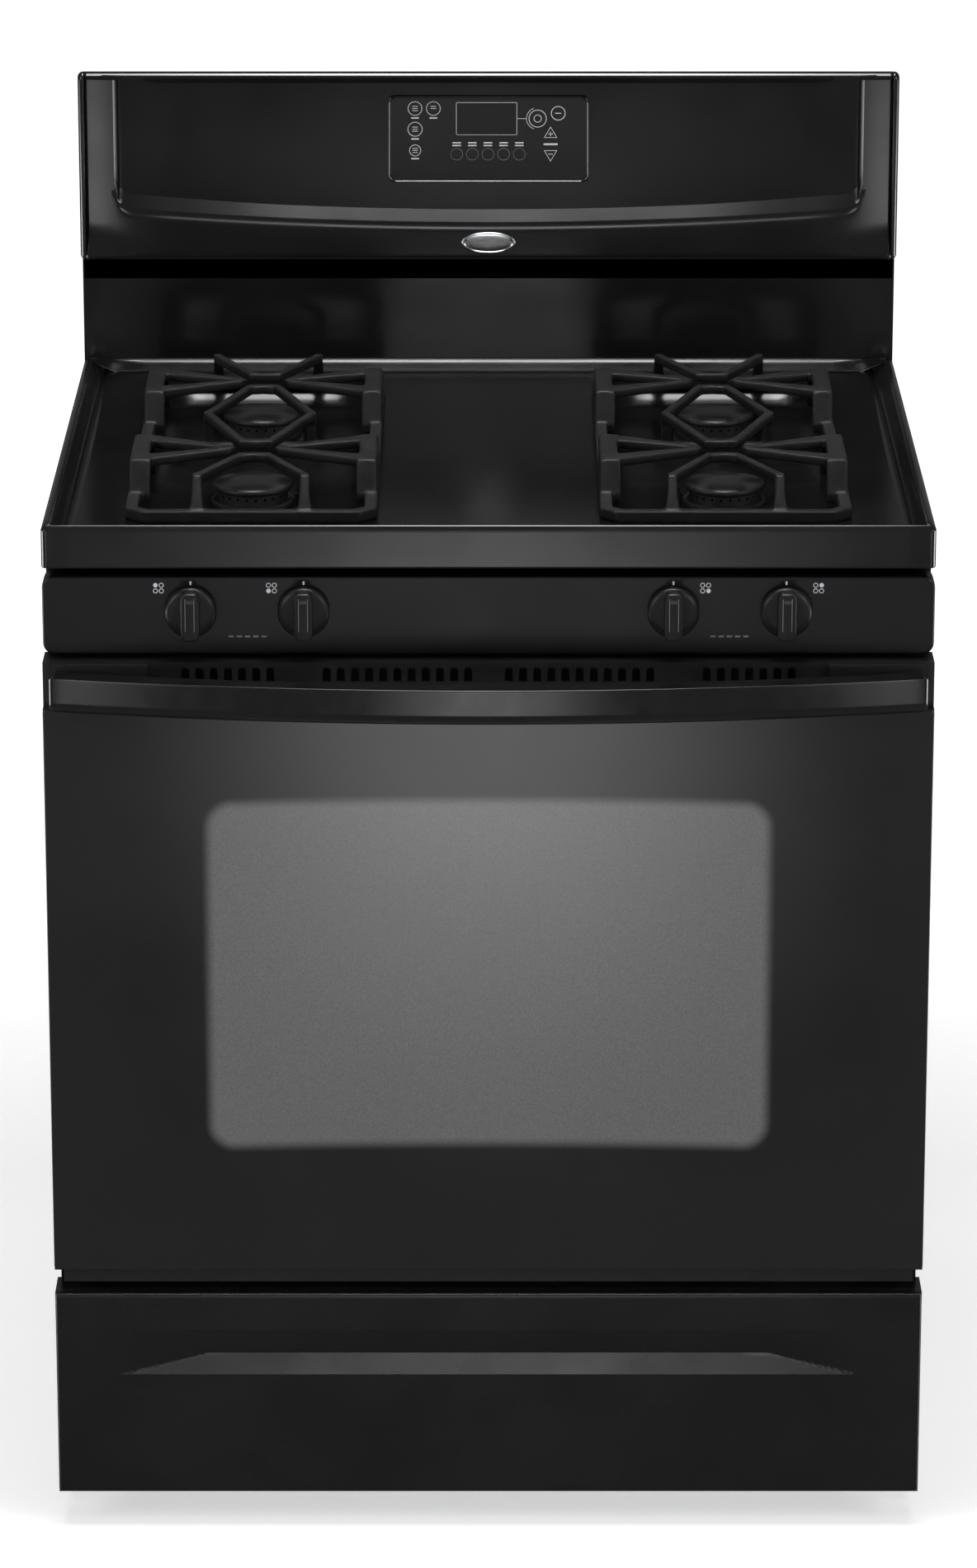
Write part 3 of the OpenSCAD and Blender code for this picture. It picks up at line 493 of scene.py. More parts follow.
def build_console(m):
    """Console moulding: dished frame, curved ledge, recessed panel, round top."""
    low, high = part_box("console_fascia")
    front, top, bottom, half = low.y, high.z, low.z, high.x
    recess_half, recess_top = 347 * MM, 1184 * MM
    arc_z, sag, corner = 1049 * MM, 14 * MM, 18 * MM
    depth, side_ramp = 10 * MM, 5 * MM
    nose, bow_start, bow_rate, roll = 7 * MM, 300 * MM, 1.0, 9 * MM
    arc_r = (recess_half ** 2 + sag ** 2) / (2 * sag)

    def ledge_z(x):
        """The ledge's front edge: an arc with a round corner at each end."""
        x = abs(x)
        z = arc_z + arc_r - math.sqrt(arc_r ** 2 - min(x, recess_half) ** 2)
        near = min(x, recess_half) - (recess_half - corner)
        if near > 0:
            z += corner - math.sqrt(max(corner ** 2 - near ** 2, 0.0))
        return z

    def ledge_height(x):
        """The ledge stands steeper towards its ends, so its glow fades there."""
        return (11.3 + 1.6 * smooth_step((abs(x) / MM - 180) / 150)) * MM

    def depth_at(x):
        """The recess runs out towards the frame's sides."""
        return depth * smooth_step((recess_half - abs(x)) / side_ramp)

    def frame_bow(x):
        """How far the ends of the frame bend back."""
        return bow_rate * max(0.0, abs(x) - bow_start) ** 2

    def roll_back(z, z_edge):
        """How far the strip below the ledge rolls back at its top."""
        return 1.7 * MM * max(0.0, 1.0 - (z_edge - z) / roll) ** 2

    side = [recess_half - corner + corner * (1 - math.cos(math.pi * i / 24)) for i in range(13)]
    outside = spread(recess_half, half, 10)[1:]
    right = spread(0.0, recess_half - corner, 40)[1:-1] + side + outside
    columns = [-x for x in reversed(right)] + [0.0] + right
    rings = []
    for x in columns:
        z_front = ledge_z(x)
        ledge_up = ledge_height(x)
        z_back = z_front + ledge_up
        d, bowed = depth_at(x), frame_bow(x)
        d = max(d - bowed, 0.0)
        line = [(front + 50 * MM, bottom), (front + 8 * MM, bottom)]
        line += [(y, z) for y, z in arc(front + 4 * MM, bottom + 4 * MM, 4 * MM, 270, 180, 5)]
        share = smooth_step(d / (6 * MM))
        z_roll = z_front - roll
        for z in spread(bottom + 4 * MM, z_roll, 6)[1:] + spread(z_roll, z_front, 8)[1:]:
            rise = smooth_step((z - bottom) / (30 * MM))
            line.append((front + bowed * rise + share * roll_back(z, z_front), z))
        y_edge = front + bowed + share * 1.7 * MM
        y_floor = front + bowed + d
        for i in range(1, 11):
            t = i / 10
            line.append((y_edge + (y_floor - y_edge) * t, z_front + ledge_up * t))
        for z in spread(z_back, recess_top, 14)[1:]:
            line.append((y_floor, z))
        line.append((front + bowed * 0.6, recess_top + 0.5 * MM))
        settle = [min(1.0, k / 5) for k in range(10)]
        line += [(max(y, front + bowed * 0.5 * (1 - w)), z)
                 for w, (y, z) in zip(settle, arc(front + nose, top - nose, nose, 180, 76, 9))]
        line += [(high.y, top - 16 * MM)]
        rings.append([(x, y, z) for y, z in line])
    pressed("console_fascia_skin", rings, m["console"], "body", "console_plastic",
            ["console_fascia"], 28, 2.4 * MM)


def build_end_caps(m):
    """Thin cap on each end of the console, round at its outer edge."""
    low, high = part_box("console_end_caps")
    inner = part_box("console_fascia")[1].x
    nose, fillet, bottom_r = 7 * MM, 5 * MM, 4 * MM
    for side, word in SIDES.items():
        rings = []
        steps = [(inner + 0.1 * MM, 0.5 * MM), (inner + 0.3 * MM, 0.15 * MM),
                 (inner + 0.6 * MM, 0.0)]
        steps += [(high.x - fillet + fillet * math.sin(math.radians(a)),
                   fillet * (1 - math.cos(math.radians(a)))) for a in (20, 40, 60, 80, 90)]
        for x, inset in steps:
            inset = min(inset, fillet - 0.3 * MM)
            line = arc(low.y + bottom_r, low.z + bottom_r, max(bottom_r - inset, 0.2 * MM),
                       270, 180, 5)
            line += arc(low.y + nose, high.z - nose, nose - inset, 180, 76, 9)
            line += [(high.y - inset, high.z - 16 * MM - inset), (high.y - inset, low.z + inset)]
            rings.append([(side * x, y, z) for y, z in line])
        skin("console_cap_" + word, rings, m["console"], "body", "console_plastic",
             ["console_end_caps"], 50)


def ring_mark(name, cx, cz, y, radius, width, material, body, slot, start=0, stop=360):
    """A printed circle or arc, raised a hair so that it shows."""
    steps = 40
    closed = stop - start >= 360
    count = steps if closed else steps + 1
    angles = [math.radians(start + (stop - start) * i / steps) for i in range(count)]
    section = ((-width / 2, 0.0), (width / 2, 0.0), (width / 2, -PRINT), (-width / 2, -PRINT))
    rings = [[(cx + (radius + dr) * math.cos(a), y + dy, cz + (radius + dr) * math.sin(a))
              for dr, dy in section] for a in angles]
    if closed:
        rings.append(rings[0])
    skin(name, rings, material, body, slot, smooth=False, caps=not closed)


def bar_mark(name, x0, x1, z0, z1, y, material, body, slot):
    """A printed bar with round corners."""
    corner = min(x1 - x0, z1 - z0) * 0.3
    plate(name, (x0, x1, z0, z1), corner, (y, y - PRINT), 0.05 * MM, (3, 1), material, body, slot,
          smooth=False)


def build_overlay(m):
    """Key film with its lip, display window and plain key symbols."""
    low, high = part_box("control_overlay")
    middle = (low.z + high.z) / 2
    lip, sag = 1.6 * MM, 3 * MM

    def outline(inset, grow=0.0):
        """The film's outline; its lower edge is bowed."""
        points = round_rect(low.x + inset - grow, high.x - inset + grow, low.z + inset - grow,
                            high.z - inset + grow, 6 * MM, 6)
        return [(x, z - (sag * (1 - (x / high.x) ** 2) if z < middle else 0.0)) for x, z in points]

    y = low.y
    on_film = ("body", "overlay_film")
    skin("key_film", slab_rings(outline, high.y, y, 0.5 * MM, 2), m["film"], *on_film,
         ["control_overlay"])
    # raised lip round the film
    rings = []
    for inset, dy in ((-lip, 1.9 * MM), (-lip * 0.85, 0.0), (-lip * 0.6, -1.0 * MM),
                      (-lip * 0.3, -1.3 * MM), (0.0, -1.0 * MM), (0.5 * MM, -0.3 * MM),
                      (0.8 * MM, 0.4 * MM)):
        rings.append([(x, y + dy, z) for x, z in outline(max(inset, 0), max(-inset, 0))])
    skin("key_film_lip", rings, m["console"], "body", "console_plastic", caps=False)

    top = 1166.5 * MM

    def at(px, pz):
        """Place on the film: millimetres from its middle and from its top edge."""
        return px * MM, top - pz * MM

    def ring(name, cx, cz, radius, width, look="print", start=0, stop=360):
        """A printed circle or arc; radius and width in millimetres."""
        ring_mark(name, cx, cz, y, radius * MM, width * MM, m[look], *on_film, start, stop)

    def bar(name, cx, cz, half_w, half_h):
        """A printed bar round its middle; half sizes in millimetres."""
        bar_mark(name, cx - half_w * MM, cx + half_w * MM, cz - half_h * MM, cz + half_h * MM, y,
                 m["print"], *on_film)

    x0, z1 = at(-29.5, 5.2)
    x1, z0 = at(26.0, 35.0)
    plate("display_pane", (x0, x1, z0, z1), 1 * MM, (y, y - 0.25 * MM), 0.1 * MM, (3, 1),
          m["display"], *on_film)
    line = 0.5 * MM
    for name, box in (("top", (x0, x1, z1, z1 + line)), ("bottom", (x0, x1, z0 - line, z0)),
                      ("left", (x0 - line, x0, z0, z1)), ("right", (x1, x1 + line, z0, z1))):
        bar_mark("display_line_" + name, *box, y, m["print"], *on_film)
    # round keys on the left, each with a small plain symbol of two or three bars
    for i, (px, pz, r, bars) in enumerate(((-68.0, 10.5, 6.4, 3), (-51.0, 10.5, 6.4, 2),
                                           (-68.0, 30.0, 6.6, 3), (-68.0, 50.0, 5.2, 3))):
        cx, cz = at(px, pz)
        ring(f"key_ring_{i}", cx, cz, r, 0.55)
        for k in range(bars):
            bar(f"key_sign_{i}_{k}", cx, cz + (1 - k) * 2.0 * MM, 2.6, 0.3)
        bar(f"key_label_{i}", cx, cz - (r + 2.55) * MM, 3.6, 0.65)
    # row of five plain keys
    for i in range(5):
        cx, cz = at(-29.5 + 14.5 * i, 53.6)
        ring(f"round_key_{i}", cx, cz, 5.5, 0.45, "dim_print_and_highlight")
        for k in range(2):
            bar(f"round_label_{i}_{k}", cx, cz + (8.2 + 2.6 * k) * MM, 4.0, 0.6)
    # start key: two rings, an outer arc and a line; stop key: ring and bar
    cx, cz = at(45.5, 20.0)
    ring("start_ring", cx, cz, 8.0, 0.7)
    ring("start_arc", cx, cz, 10.3, 0.5, "print", 110, 250)
    ring("start_diamond", cx, cz, 3.4, 0.7)
    bar("start_line", cx - 14.7 * MM, cz, 4.3, 0.25)
    cx, cz = at(64.5, 15.0)
    ring("stop_ring", cx, cz, 6.4, 0.7)
    bar("stop_sign", cx, cz, 2.8, 0.4)
    # plus and minus triangles
    size, width = 6.6 * MM, 0.5 * MM
    section = ((-width, 0.0), (width, 0.0), (width, -PRINT), (-width, -PRINT))
    for name, pz, flip in (("plus", 34.5, 1), ("minus", 53.5, -1)):
        cx, cz = at(57.5, pz)
        rings = []
        for t in (math.radians(a) for a in (90, 210, 330, 90)):
            rings.append([(cx + (size + dr) * math.cos(t), y + dy,
                           cz + flip * (size + dr) * math.sin(t)) for dr, dy in section])
        skin("triangle_" + name, rings, m["print"], *on_film, smooth=False, caps=False)
        bar("sign_h_" + name, cx, cz, 2.2, 0.35)
    bar("sign_v_plus", *at(57.5, 34.5), 0.35, 2.2)
    bar("temperature_label", *at(57.5, 44.2), 6.5, 0.9)


def build_badge(m):
    """Blank oval plate: a bright rim round a gently domed face."""
    low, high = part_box("badge")
    cz = (low.z + high.z) / 2
    rx, rz = high.x, (high.z - low.z) / 2
    deep = high.y - low.y
    rings = []
    for scale, rise in ((1.0, 0.0), (1.0, 0.5), (0.985, 0.85), (0.95, 1.0), (0.91, 0.85),
                        (0.89, 0.6), (0.8, 0.72), (0.6, 0.85), (0.35, 0.93), (0.1, 0.96)):
        ring = []
        for i in range(64):
            a = 2 * math.pi * i / 64
            ring.append((rx * scale * math.cos(a), high.y - deep * rise,
                         cz + rz * scale * math.sin(a)))
        rings.append(ring)
    skin("badge_plate", rings, m["badge"], "body", "badge_silver", ["badge"], 60)


# ----------------------------------------------------------------- cooktop

def grid(xs, ys, height):
    """Vertices and faces of a height field."""
    verts = [(x, y, height(x, y)) for y in ys for x in xs]
    faces = []
    nx = len(xs)
    for j in range(len(ys) - 1):
        for i in range(nx - 1):
            a = j * nx + i
            faces.append((a, a + 1, a + nx + 1, a + nx))
    return verts, faces


def build_cooktop(m):
    """Pressed top: rim on three sides, sloping cove at the rear, two dished wells, skirt."""
    low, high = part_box("cooktop")
    surface, well_low = high.z - 11 * MM, high.z - 24 * MM
    rim_w, lip, cove = 18 * MM, 3.5 * MM, 12 * MM
    well_x0, well_x1 = 100 * MM, 307 * MM
    grate_low, grate_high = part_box("grate_right")
    well_y0, well_y1 = grate_low.y + 5 * MM, grate_high.y - 5 * MM
    corner, wall = 42 * MM, 17 * MM

    def wall_fall(t):
        """Share of a well's depth: a straight slope with a little round at each end."""
        t = max(0.0, min(1.0, t))
        return 0.15 * smooth_step(t) + 0.85 * t

    def height(x, y):
        """The plate's surface with its two wells."""
        qx = abs(abs(x) - (well_x0 + well_x1) / 2) - ((well_x1 - well_x0) / 2 - corner)
        qy = abs(y - (well_y0 + well_y1) / 2) - ((well_y1 - well_y0) / 2 - corner)
        outside = math.hypot(max(qx, 0.0), max(qy, 0.0)) + min(max(qx, qy), 0.0) - corner
        return surface - (surface - well_low) * wall_fall(-outside / wall)

    def fine(a, b, edges):
        """Steps of 8 mm, but 1.6 mm near the given edges."""
        marks, t = [a], a
        while t < b - 1e-6:
            near = any(e - 14 * MM < t < e + 14 * MM for e in edges)
            t = min(b, t + (1.6 * MM if near else 8 * MM))
            marks.append(t)
        return marks

    x_in = high.x - rim_w
    y_front, y_rear = low.y + 12 * MM, high.y - cove
    xs = fine(-x_in, x_in, (-well_x1, -well_x0, well_x0, well_x1))
    ys = fine(y_front, y_rear, (well_y0, well_y1))
    verts, faces = grid(xs, ys, height)
    sheet = add_object("cooktop_plate", verts, faces, m["plate"], "body", "black_enamel",
                       ["cooktop"], angle=60)
    shell(sheet)

    # rim: a section swept from the rear left, round the front, to the rear right
    section = [(inset * MM, low.z + up * MM) for inset, up in
               ((4, 1.5), (1.5, 0), (0.3, 0.4), (0, 1.5), (0, 2.5), (0, 14))]
    section += [(inset * MM, high.z - down * MM) for inset, down in
                ((0, 5.4), (0, 4.4), (0.15, 3.9), (0.4, 3.5), (1.6, 1.9), (2.5, 0.8), (2.9, 0.35))]
    section.append((lip, high.z))
    slope_start, slope_z = lip + 3.0 * MM, high.z - 0.3 * MM
    section_side = section + [(slope_start, slope_z)]
    for t in spread(0.0, 1.0, 9)[1:]:
        section_side.append((slope_start + (rim_w - slope_start) * t,
                             slope_z - (slope_z - surface) * smooth_step(t)))
    section_side[-1] = (rim_w + 0.4 * MM, surface)
    # outward direction and place of each section; the rim's slope is narrower along the front
    radius, clear, front_narrow = 5 * MM, 25 * MM, 12.4 / 18.4
    path = [(-1.0, 0.0, -high.x, y) for y in spread(high.y, low.y + clear, 6)]
    path += corner_path(-1, high.x, low.y, radius)
    path += [(0.0, -1.0, x, low.y) for x in spread(-high.x + clear, high.x - clear, 9)]
    path += list(reversed(corner_path(1, high.x, low.y, radius)))
    path += [(1.0, 0.0, high.x, y) for y in spread(low.y + clear, high.y, 6)]
    rings = []
    for nx, ny, px, py in path:
        front_share = abs(ny) / (abs(nx) + abs(ny))
        squeeze = 1.0 - front_share * (1.0 - front_narrow)
        ring = []
        for k, (inset, z) in enumerate(section_side):
            deep = inset if k < len(section) else inset * squeeze
            ring.append((px - nx * deep, py - ny * deep, z))
        rings.append(ring)
    pressed("cooktop_rim", rings, m["enamel"], "body", "black_enamel", (), 50)

    # cove at the rear, with its blended ends
    cove_rings = []
    for x in spread(-x_in - 12 * MM, x_in + 12 * MM, 31):
        fall = smooth_step((abs(x) - (x_in - 6 * MM)) / (16 * MM))
        base = surface + (high.z - 0.4 * MM - surface) * fall
        line = [(y_rear - 1.0 * MM, base)]
        for t in spread(0.0, 1.0, 9):
            curve = 0.86 * t + 0.14 * t ** 8
            line.append((y_rear + (cove - 0.3 * MM) * t, base + (high.z - base - 0.2 * MM) * curve))
        cove_rings.append([(x, y, z) for y, z in line])
    pressed("cooktop_cove", cove_rings, m["enamel"], "body", "black_enamel", (), 60)


def corner_path(side, half, front, radius):
    """Points round a front corner: outward direction and place."""
    points = []
    for i in range(7):
        a = math.radians(90 * i / 6)
        nx, ny = side * math.cos(a), -math.sin(a)
        points.append((nx, ny, side * (half - radius) + nx * radius, front + radius + ny * radius))
    return points


# ------------------------------------------------------------------ grates

def build_grate(name, material):
    """Cast double grate: the same bars as the CAD node, blended by a remesh."""
    low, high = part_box(name)
    cx, cy = (low.x + high.x) / 2, (low.y + high.y) / 2
    half, half_l = (high.x - low.x) / 2, (high.y - low.y) / 2
    pitch = 120 * MM
    top, base = high.z, low.z
    arm_w, arm_h, rail_w, ring_w = 8 * MM, 8 * MM, 16 * MM, 11 * MM
    plateau, reach = 40 * MM, 44 * MM
    top_x, vertex_x = half - 9 * MM, 46 * MM
    tip_x, tip_y = 13 * MM, 25 * MM
    bm = bmesh.new()

    def solid(first, second):
        """A solid between two outlines with the same number of corners."""
        ends = [[bm.verts.new(point) for point in end] for end in (first, second)]
        bm.faces.new(ends[0])
        bm.faces.new(ends[1])
        for i in range(len(first)):
            j = (i + 1) % len(first)
            bm.faces.new((ends[0][i], ends[0][j], ends[1][j], ends[1][i]))

    def prism(outline, z0, z1):
        """A solid over a convex outline in X and Y."""
        solid(*([(x, y, z) for x, y in outline] for z in (z0, z1)))

    def taper(x0, y0, w0, x1, y1, w1, z0, z1, tip=0.0):
        """A bar seen from above, w0 wide at its start and w1 at its end."""
        run = Vector((x1 - x0, y1 - y0)).normalized()
        side = Vector((-run.y, run.x))
        a, b = Vector((x0, y0)), Vector((x1, y1)) + run * tip * 0.5
        point = [b + run * tip] if tip else []
        prism([a + side * w0 / 2, a - side * w0 / 2, b - side * w1 / 2, *point,
               b + side * w1 / 2], z0, z1)

    def ring_side(x0, y0, x1, y1):
        """One side of the ring that lies on the cooktop."""
        taper(x0, y0, ring_w, x1, y1, ring_w, base, base + 10 * MM)

    mid, cut = ring_w / 2, 9 * MM
    for s in (-1, 1):
        ring_side(-half + mid + cut, s * (half_l - mid), half - mid - cut, s * (half_l - mid))
        ring_side(s * (half - mid), -half_l + mid + cut, s * (half - mid), half_l - mid - cut)
        for x in (-1, 1):
            ring_side(x * (half - mid - cut - 2 * MM), s * (half_l - mid),
                      x * (half - mid), s * (half_l - mid - cut - 2 * MM))
    taper(-half + mid, 0, 10 * MM, half - mid, 0, 10 * MM, base, base + 9 * MM)
    arm_z = top - arm_h
    for s in (-1, 1):
        for x in (-1, 1):
            vx = x * vertex_x
            y_top = s * (half_l - 25 * MM)
            # outer leg: slopes up from the ring and flares at its foot
            for z0, z1, w0, w1, out0, out1 in ((0, 8, 9, 6.5, 0.5, 2), (8, 20, 6.5, 4.5, 2, 9),
                                               (20, (top - base) / MM, 4.5, 4, 9, 20)):
                ends = []
                for z, w, out in ((base + z0 * MM, w0 * MM, out0), (base + z1 * MM, w1 * MM, out1)):
                    y_out, y_in = s * (half_l - out * MM), s * (half_l - (out + 9.5) * MM)
                    ends.append([(vx - w, y_out, z), (vx + w, y_out, z),
                                 (vx + w, y_in, z), (vx - w, y_in, z)])
                solid(*ends)
            for side, y0 in ((1, y_top), (-1, 0.0)):
                bend_y = s * (pitch + side * tip_y)
                taper(vx, y0, arm_w, x * tip_x, bend_y, arm_w, arm_z, top)
                taper(x * tip_x, bend_y, arm_w, 0, s * (pitch + side * (tip_y - 3 * MM)), arm_w,
                      arm_z, top)
                taper(x * (tip_x + 2 * MM), bend_y - side * s * 2 * MM, arm_w, -x * 1 * MM,
                      s * (pitch + side * (tip_y - 4 * MM)), arm_w * 0.9, arm_z, top)
            # side plateau: rail with cut corners, a wall below it, two arms and sloping ends
            tx, yc = x * top_x, s * pitch
            near, far, nip = x * (half - 1.5 * MM), x * (top_x - rail_w / 2), x * 4 * MM
            prism([(far, yc - plateau), (far + nip, yc - reach), (near - nip, yc - reach),
                   (near, yc - plateau), (near, yc + plateau), (near - nip, yc + reach),
                   (far + nip, yc + reach), (far, yc + plateau)], arm_z, top)
            wall_x = x * (half - 3.5 * MM)
            wall_in, wall_out = wall_x - 2.5 * MM, wall_x + 2.5 * MM
            prism([(wall_in, yc - reach), (wall_out, yc - reach), (wall_out, yc + reach),
                   (wall_in, yc + reach)], base, top - 1 * MM)
            for e in (-1, 1):
                taper(tx - x * 2 * MM, yc + e * (plateau - 6 * MM), 18 * MM, x * 24 * MM,
                      yc + e * 3.2 * MM, 7 * MM, arm_z, top, 5 * MM)
                y_in, y_out = yc + e * (plateau - 4 * MM), yc + e * (plateau + 16 * MM)
                slope = [(y_in, base + 1 * MM), (y_out, base + 1 * MM), (y_out, base + 9 * MM),
                         (yc + e * reach, top - 1 * MM), (y_in, top - 1 * MM)]
                solid(*([(x_end, y, z) for y, z in slope]
                        for x_end in (x * (top_x - rail_w / 2 - 2 * MM), x * (half - 1.0 * MM))))
    for vx in (-vertex_x, vertex_x):
        taper(vx, -4 * MM, 8 * MM, vx, 4 * MM, 8 * MM, base, top)
    bmesh.ops.recalc_face_normals(bm, faces=bm.faces)
    mesh = bpy.data.meshes.new(name + "_cast")
    bm.to_mesh(mesh)
    bm.free()
    mesh.materials.append(material)
    mesh.transform(Matrix.Translation((cx, cy, 0)))
    obj = place(name + "_cast", mesh, name, "grate_iron", [name], smooth=True, angle=180)
    remesh = obj.modifiers.new("blend", "REMESH")
    remesh.mode = "VOXEL"
    remesh.voxel_size = 1.4 * MM
    remesh.use_smooth_shade = True
    ease = obj.modifiers.new("ease", "SMOOTH")
    ease.factor = 0.6
    ease.iterations = 5
    apply_modifiers(obj)
    fit_to(obj, low, high)
    return obj


def apply_modifiers(obj):
    """Bakes the modifiers into the mesh."""
    graph = bpy.context.evaluated_depsgraph_get()
    baked = bpy.data.meshes.new_from_object(obj.evaluated_get(graph))
    materials = list(obj.data.materials)
    obj.modifiers.clear()
    obj.data = baked
    obj.data.materials.clear()
    for material in materials:
        obj.data.materials.append(material)
    obj.data.shade_smooth()


def fit_to(obj, low, high):
    """Stretches the mesh by a hair so that it fills the CAD box exactly."""
    points = [v.co for v in obj.data.vertices]
    for axis in range(3):
        a, b = min(c[axis] for c in points), max(c[axis] for c in points)
        factor = (high[axis] - low[axis]) / (b - a)
        for point in points:
            point[axis] = low[axis] + (point[axis] - a) * factor


def build_cap(name, material):
    """Burner cap: shallow dome with a rolled edge and a locating spigot."""
    low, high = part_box(name)
    origin = Vector(((low.x + high.x) / 2, (low.y + high.y) / 2, 0.0))
    r = (high.x - low.x) / 2
    rim, top = high.z - 7.5 * MM, high.z
    profile = [(0.3 * MM, low.z), (20 * MM, low.z), (20 * MM, rim)]
    profile += [(r - inset * MM, rim + up * MM) for inset, up in
                ((2, 0), (0.4, 0.7), (0, 2.2), (0.3, 4.0), (1.6, 5.3), (4, 6.0))]
    profile += [(r * 0.6, rim + 6.9 * MM), (r * 0.3, top), (0.3 * MM, top)]
    body = name.replace("burner_cap", "cap")
    skin(name + "_dome", lathe(profile, origin, steps=72), material, body, "cap_enamel", [name], 50)


# ------------------------------------------------------------ front panels

def build_valve_panel(m):
    """Knob panel: round-ended front with burner position marks."""
    low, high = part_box("valve_panel")
    on_panel = ("body", "valve_panel_enamel")
    plate("knob_panel", (low.x, high.x, low.z, high.z), 10 * MM, (high.y, low.y), 2.2 * MM, (6, 4),
          m["panel"], *on_panel, ["valve_panel"], 50, concentric=True)
    # a tick above each knob, and beside it four dots, one filled for the knob's burner
    for name, side, filled in zip(PLACES, (-1, -1, 1, 1), (0, 2, 3, 1)):
        knob_low, knob_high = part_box("knob_" + name)
        kx, kz = (knob_low.x + knob_high.x) / 2, (knob_low.z + knob_high.z) / 2
        bar_mark("tick_" + name, kx - 0.8 * MM, kx + 0.8 * MM, kz + 22.6 * MM, kz + 26.0 * MM,
                 low.y, m["print"], *on_panel)
        ix, iz = kx + side * 27.3 * MM, kz + 20.0 * MM
        for k in range(4):
            cx = ix + (-2.5 + 5.0 * (k % 2)) * MM
            cz = iz + (2.5 - 5.0 * (k // 2)) * MM
            radius, width = (1.0, 1.8) if k == filled else (1.8, 0.6)
            ring_mark(f"burner_mark_{name}_{k}", cx, cz, low.y, radius * MM, width * MM, m["print"],
                      *on_panel)
    for side, word in SIDES.items():
        for i in range(5):
            x = (side * 205 - 14 + 7 * i) * MM
            bar_mark(f"hint_mark_{word[0]}_{i}", x - 2.3 * MM, x + 2.3 * MM,
                     low.z + 15.4 * MM, low.z + 17.0 * MM, low.y, m["dim_print_and_highlight"], *on_panel)


def build_knob(m, name):
    """Knob: stepped skirt and a straight grip with two painted highlight lines, a painted highlight
    patch and a pointer.
    """
    low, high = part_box("knob_" + name)
    cx, cz = (low.x + high.x) / 2, (low.z + high.z) / 2
    r, deep = (high.x - low.x) / 2, high.y - low.y
    body, bore = "knob_" + name, 3.9 * MM
    skirt = [(r - inset * MM, up * MM) for inset, up in
             ((0.6, 0), (0, 0.8), (0, 3.0), (0.7, 4.6), (2.2, 6.0), (4.6, 7.0), (7.5, 7.4))]
    skirt = [(bore, 0.0), *skirt, (8.5 * MM, 7.6 * MM), (bore, 7.6 * MM)]
    rings = lathe(skirt, Vector((cx, high.y, cz)), axis_y=True, steps=72)
    verts, faces = loft(rings, cap_start=False)
    add_object(body + "_skirt", verts, faces, m["knob"], body, "knob_plastic", ["knob_" + name],
               angle=50)
    # the grip: height above the panel, width share, and how far its edge is rounded off
    face = deep / MM
    half_w, half_h = 8.15 * MM, r - 0.9 * MM
    rings = []
    for height, share, inset in ((6.5, 1.06, 0.0), (9.0, 1.04, 0.0), (13.0, 1.02, 0.0),
                                 (face - 1.6, 0.99, 0.0), (face - 0.7, 0.98, 0.3),
                                 (face - 0.15, 0.97, 0.9), (face, 0.96, 1.6)):
        ring = []
        w, h = half_w * share - inset * MM * 0.7, half_h * (0.86 + 0.14 * share) - inset * MM
        for i in range(56):
            a = 2 * math.pi * i / 56
            c, s = math.cos(a), math.sin(a)
            x = w * math.copysign(abs(c) ** 0.35, c)
            z = h * math.copysign(abs(s) ** 0.8, s)
            pinch = 1.0 - 0.05 * math.cos(math.pi * z / h)
            ring.append((cx + x * pinch, high.y - height * MM, cz + z))
        rings.append(ring)
    skin(body + "_grip", rings, m["knob"], body, "knob_plastic", (), 60)

    def mark(name, x, half_w, z0, z1, look):
        """A bar painted on the grip as a highlight, in millimetres from the knob's middle."""
        bar_mark(body + name, cx + (x - half_w) * MM, cx + (x + half_w) * MM, cz + z0 * MM,
                 cz + z1 * MM, low.y + 0.05 * MM, m[look], body, "knob_plastic")

    # painted highlights: two dim lines for the lit edges of the grip's face, and a faint patch for
    # its lit top end
    mark("_highlight_line_a", -3.8, 0.25, -12, 17, "dim_print_and_highlight")
    mark("_highlight_line_b", 3.8, 0.25, -12, 17, "dim_print_and_highlight")
    mark("_face", 0.0, 3.0, 12.5, 15.5, "painted_highlight_faint")
    plate(body + "_pointer", (cx - 0.8 * MM, cx + 0.8 * MM, cz + 16.8 * MM, cz + 20.8 * MM),
          0.3 * MM, (high.y - 4.0 * MM, high.y - 7.6 * MM), 0.2 * MM, (2, 1), m["print"], body,
          "knob_plastic", smooth=False)


# -------------------------------------------------------------------- door

def build_door_glass(m):
    """Outer glass with its rounded edge."""
    low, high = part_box("door_glass")
    plate("door_outer_glass", (low.x, high.x, low.z, high.z), 3 * MM, (high.y, low.y), 1.4 * MM,
          (5, 4), m["door_glass"], "oven_door", "door_outer_glass", ["door_glass"], 50)


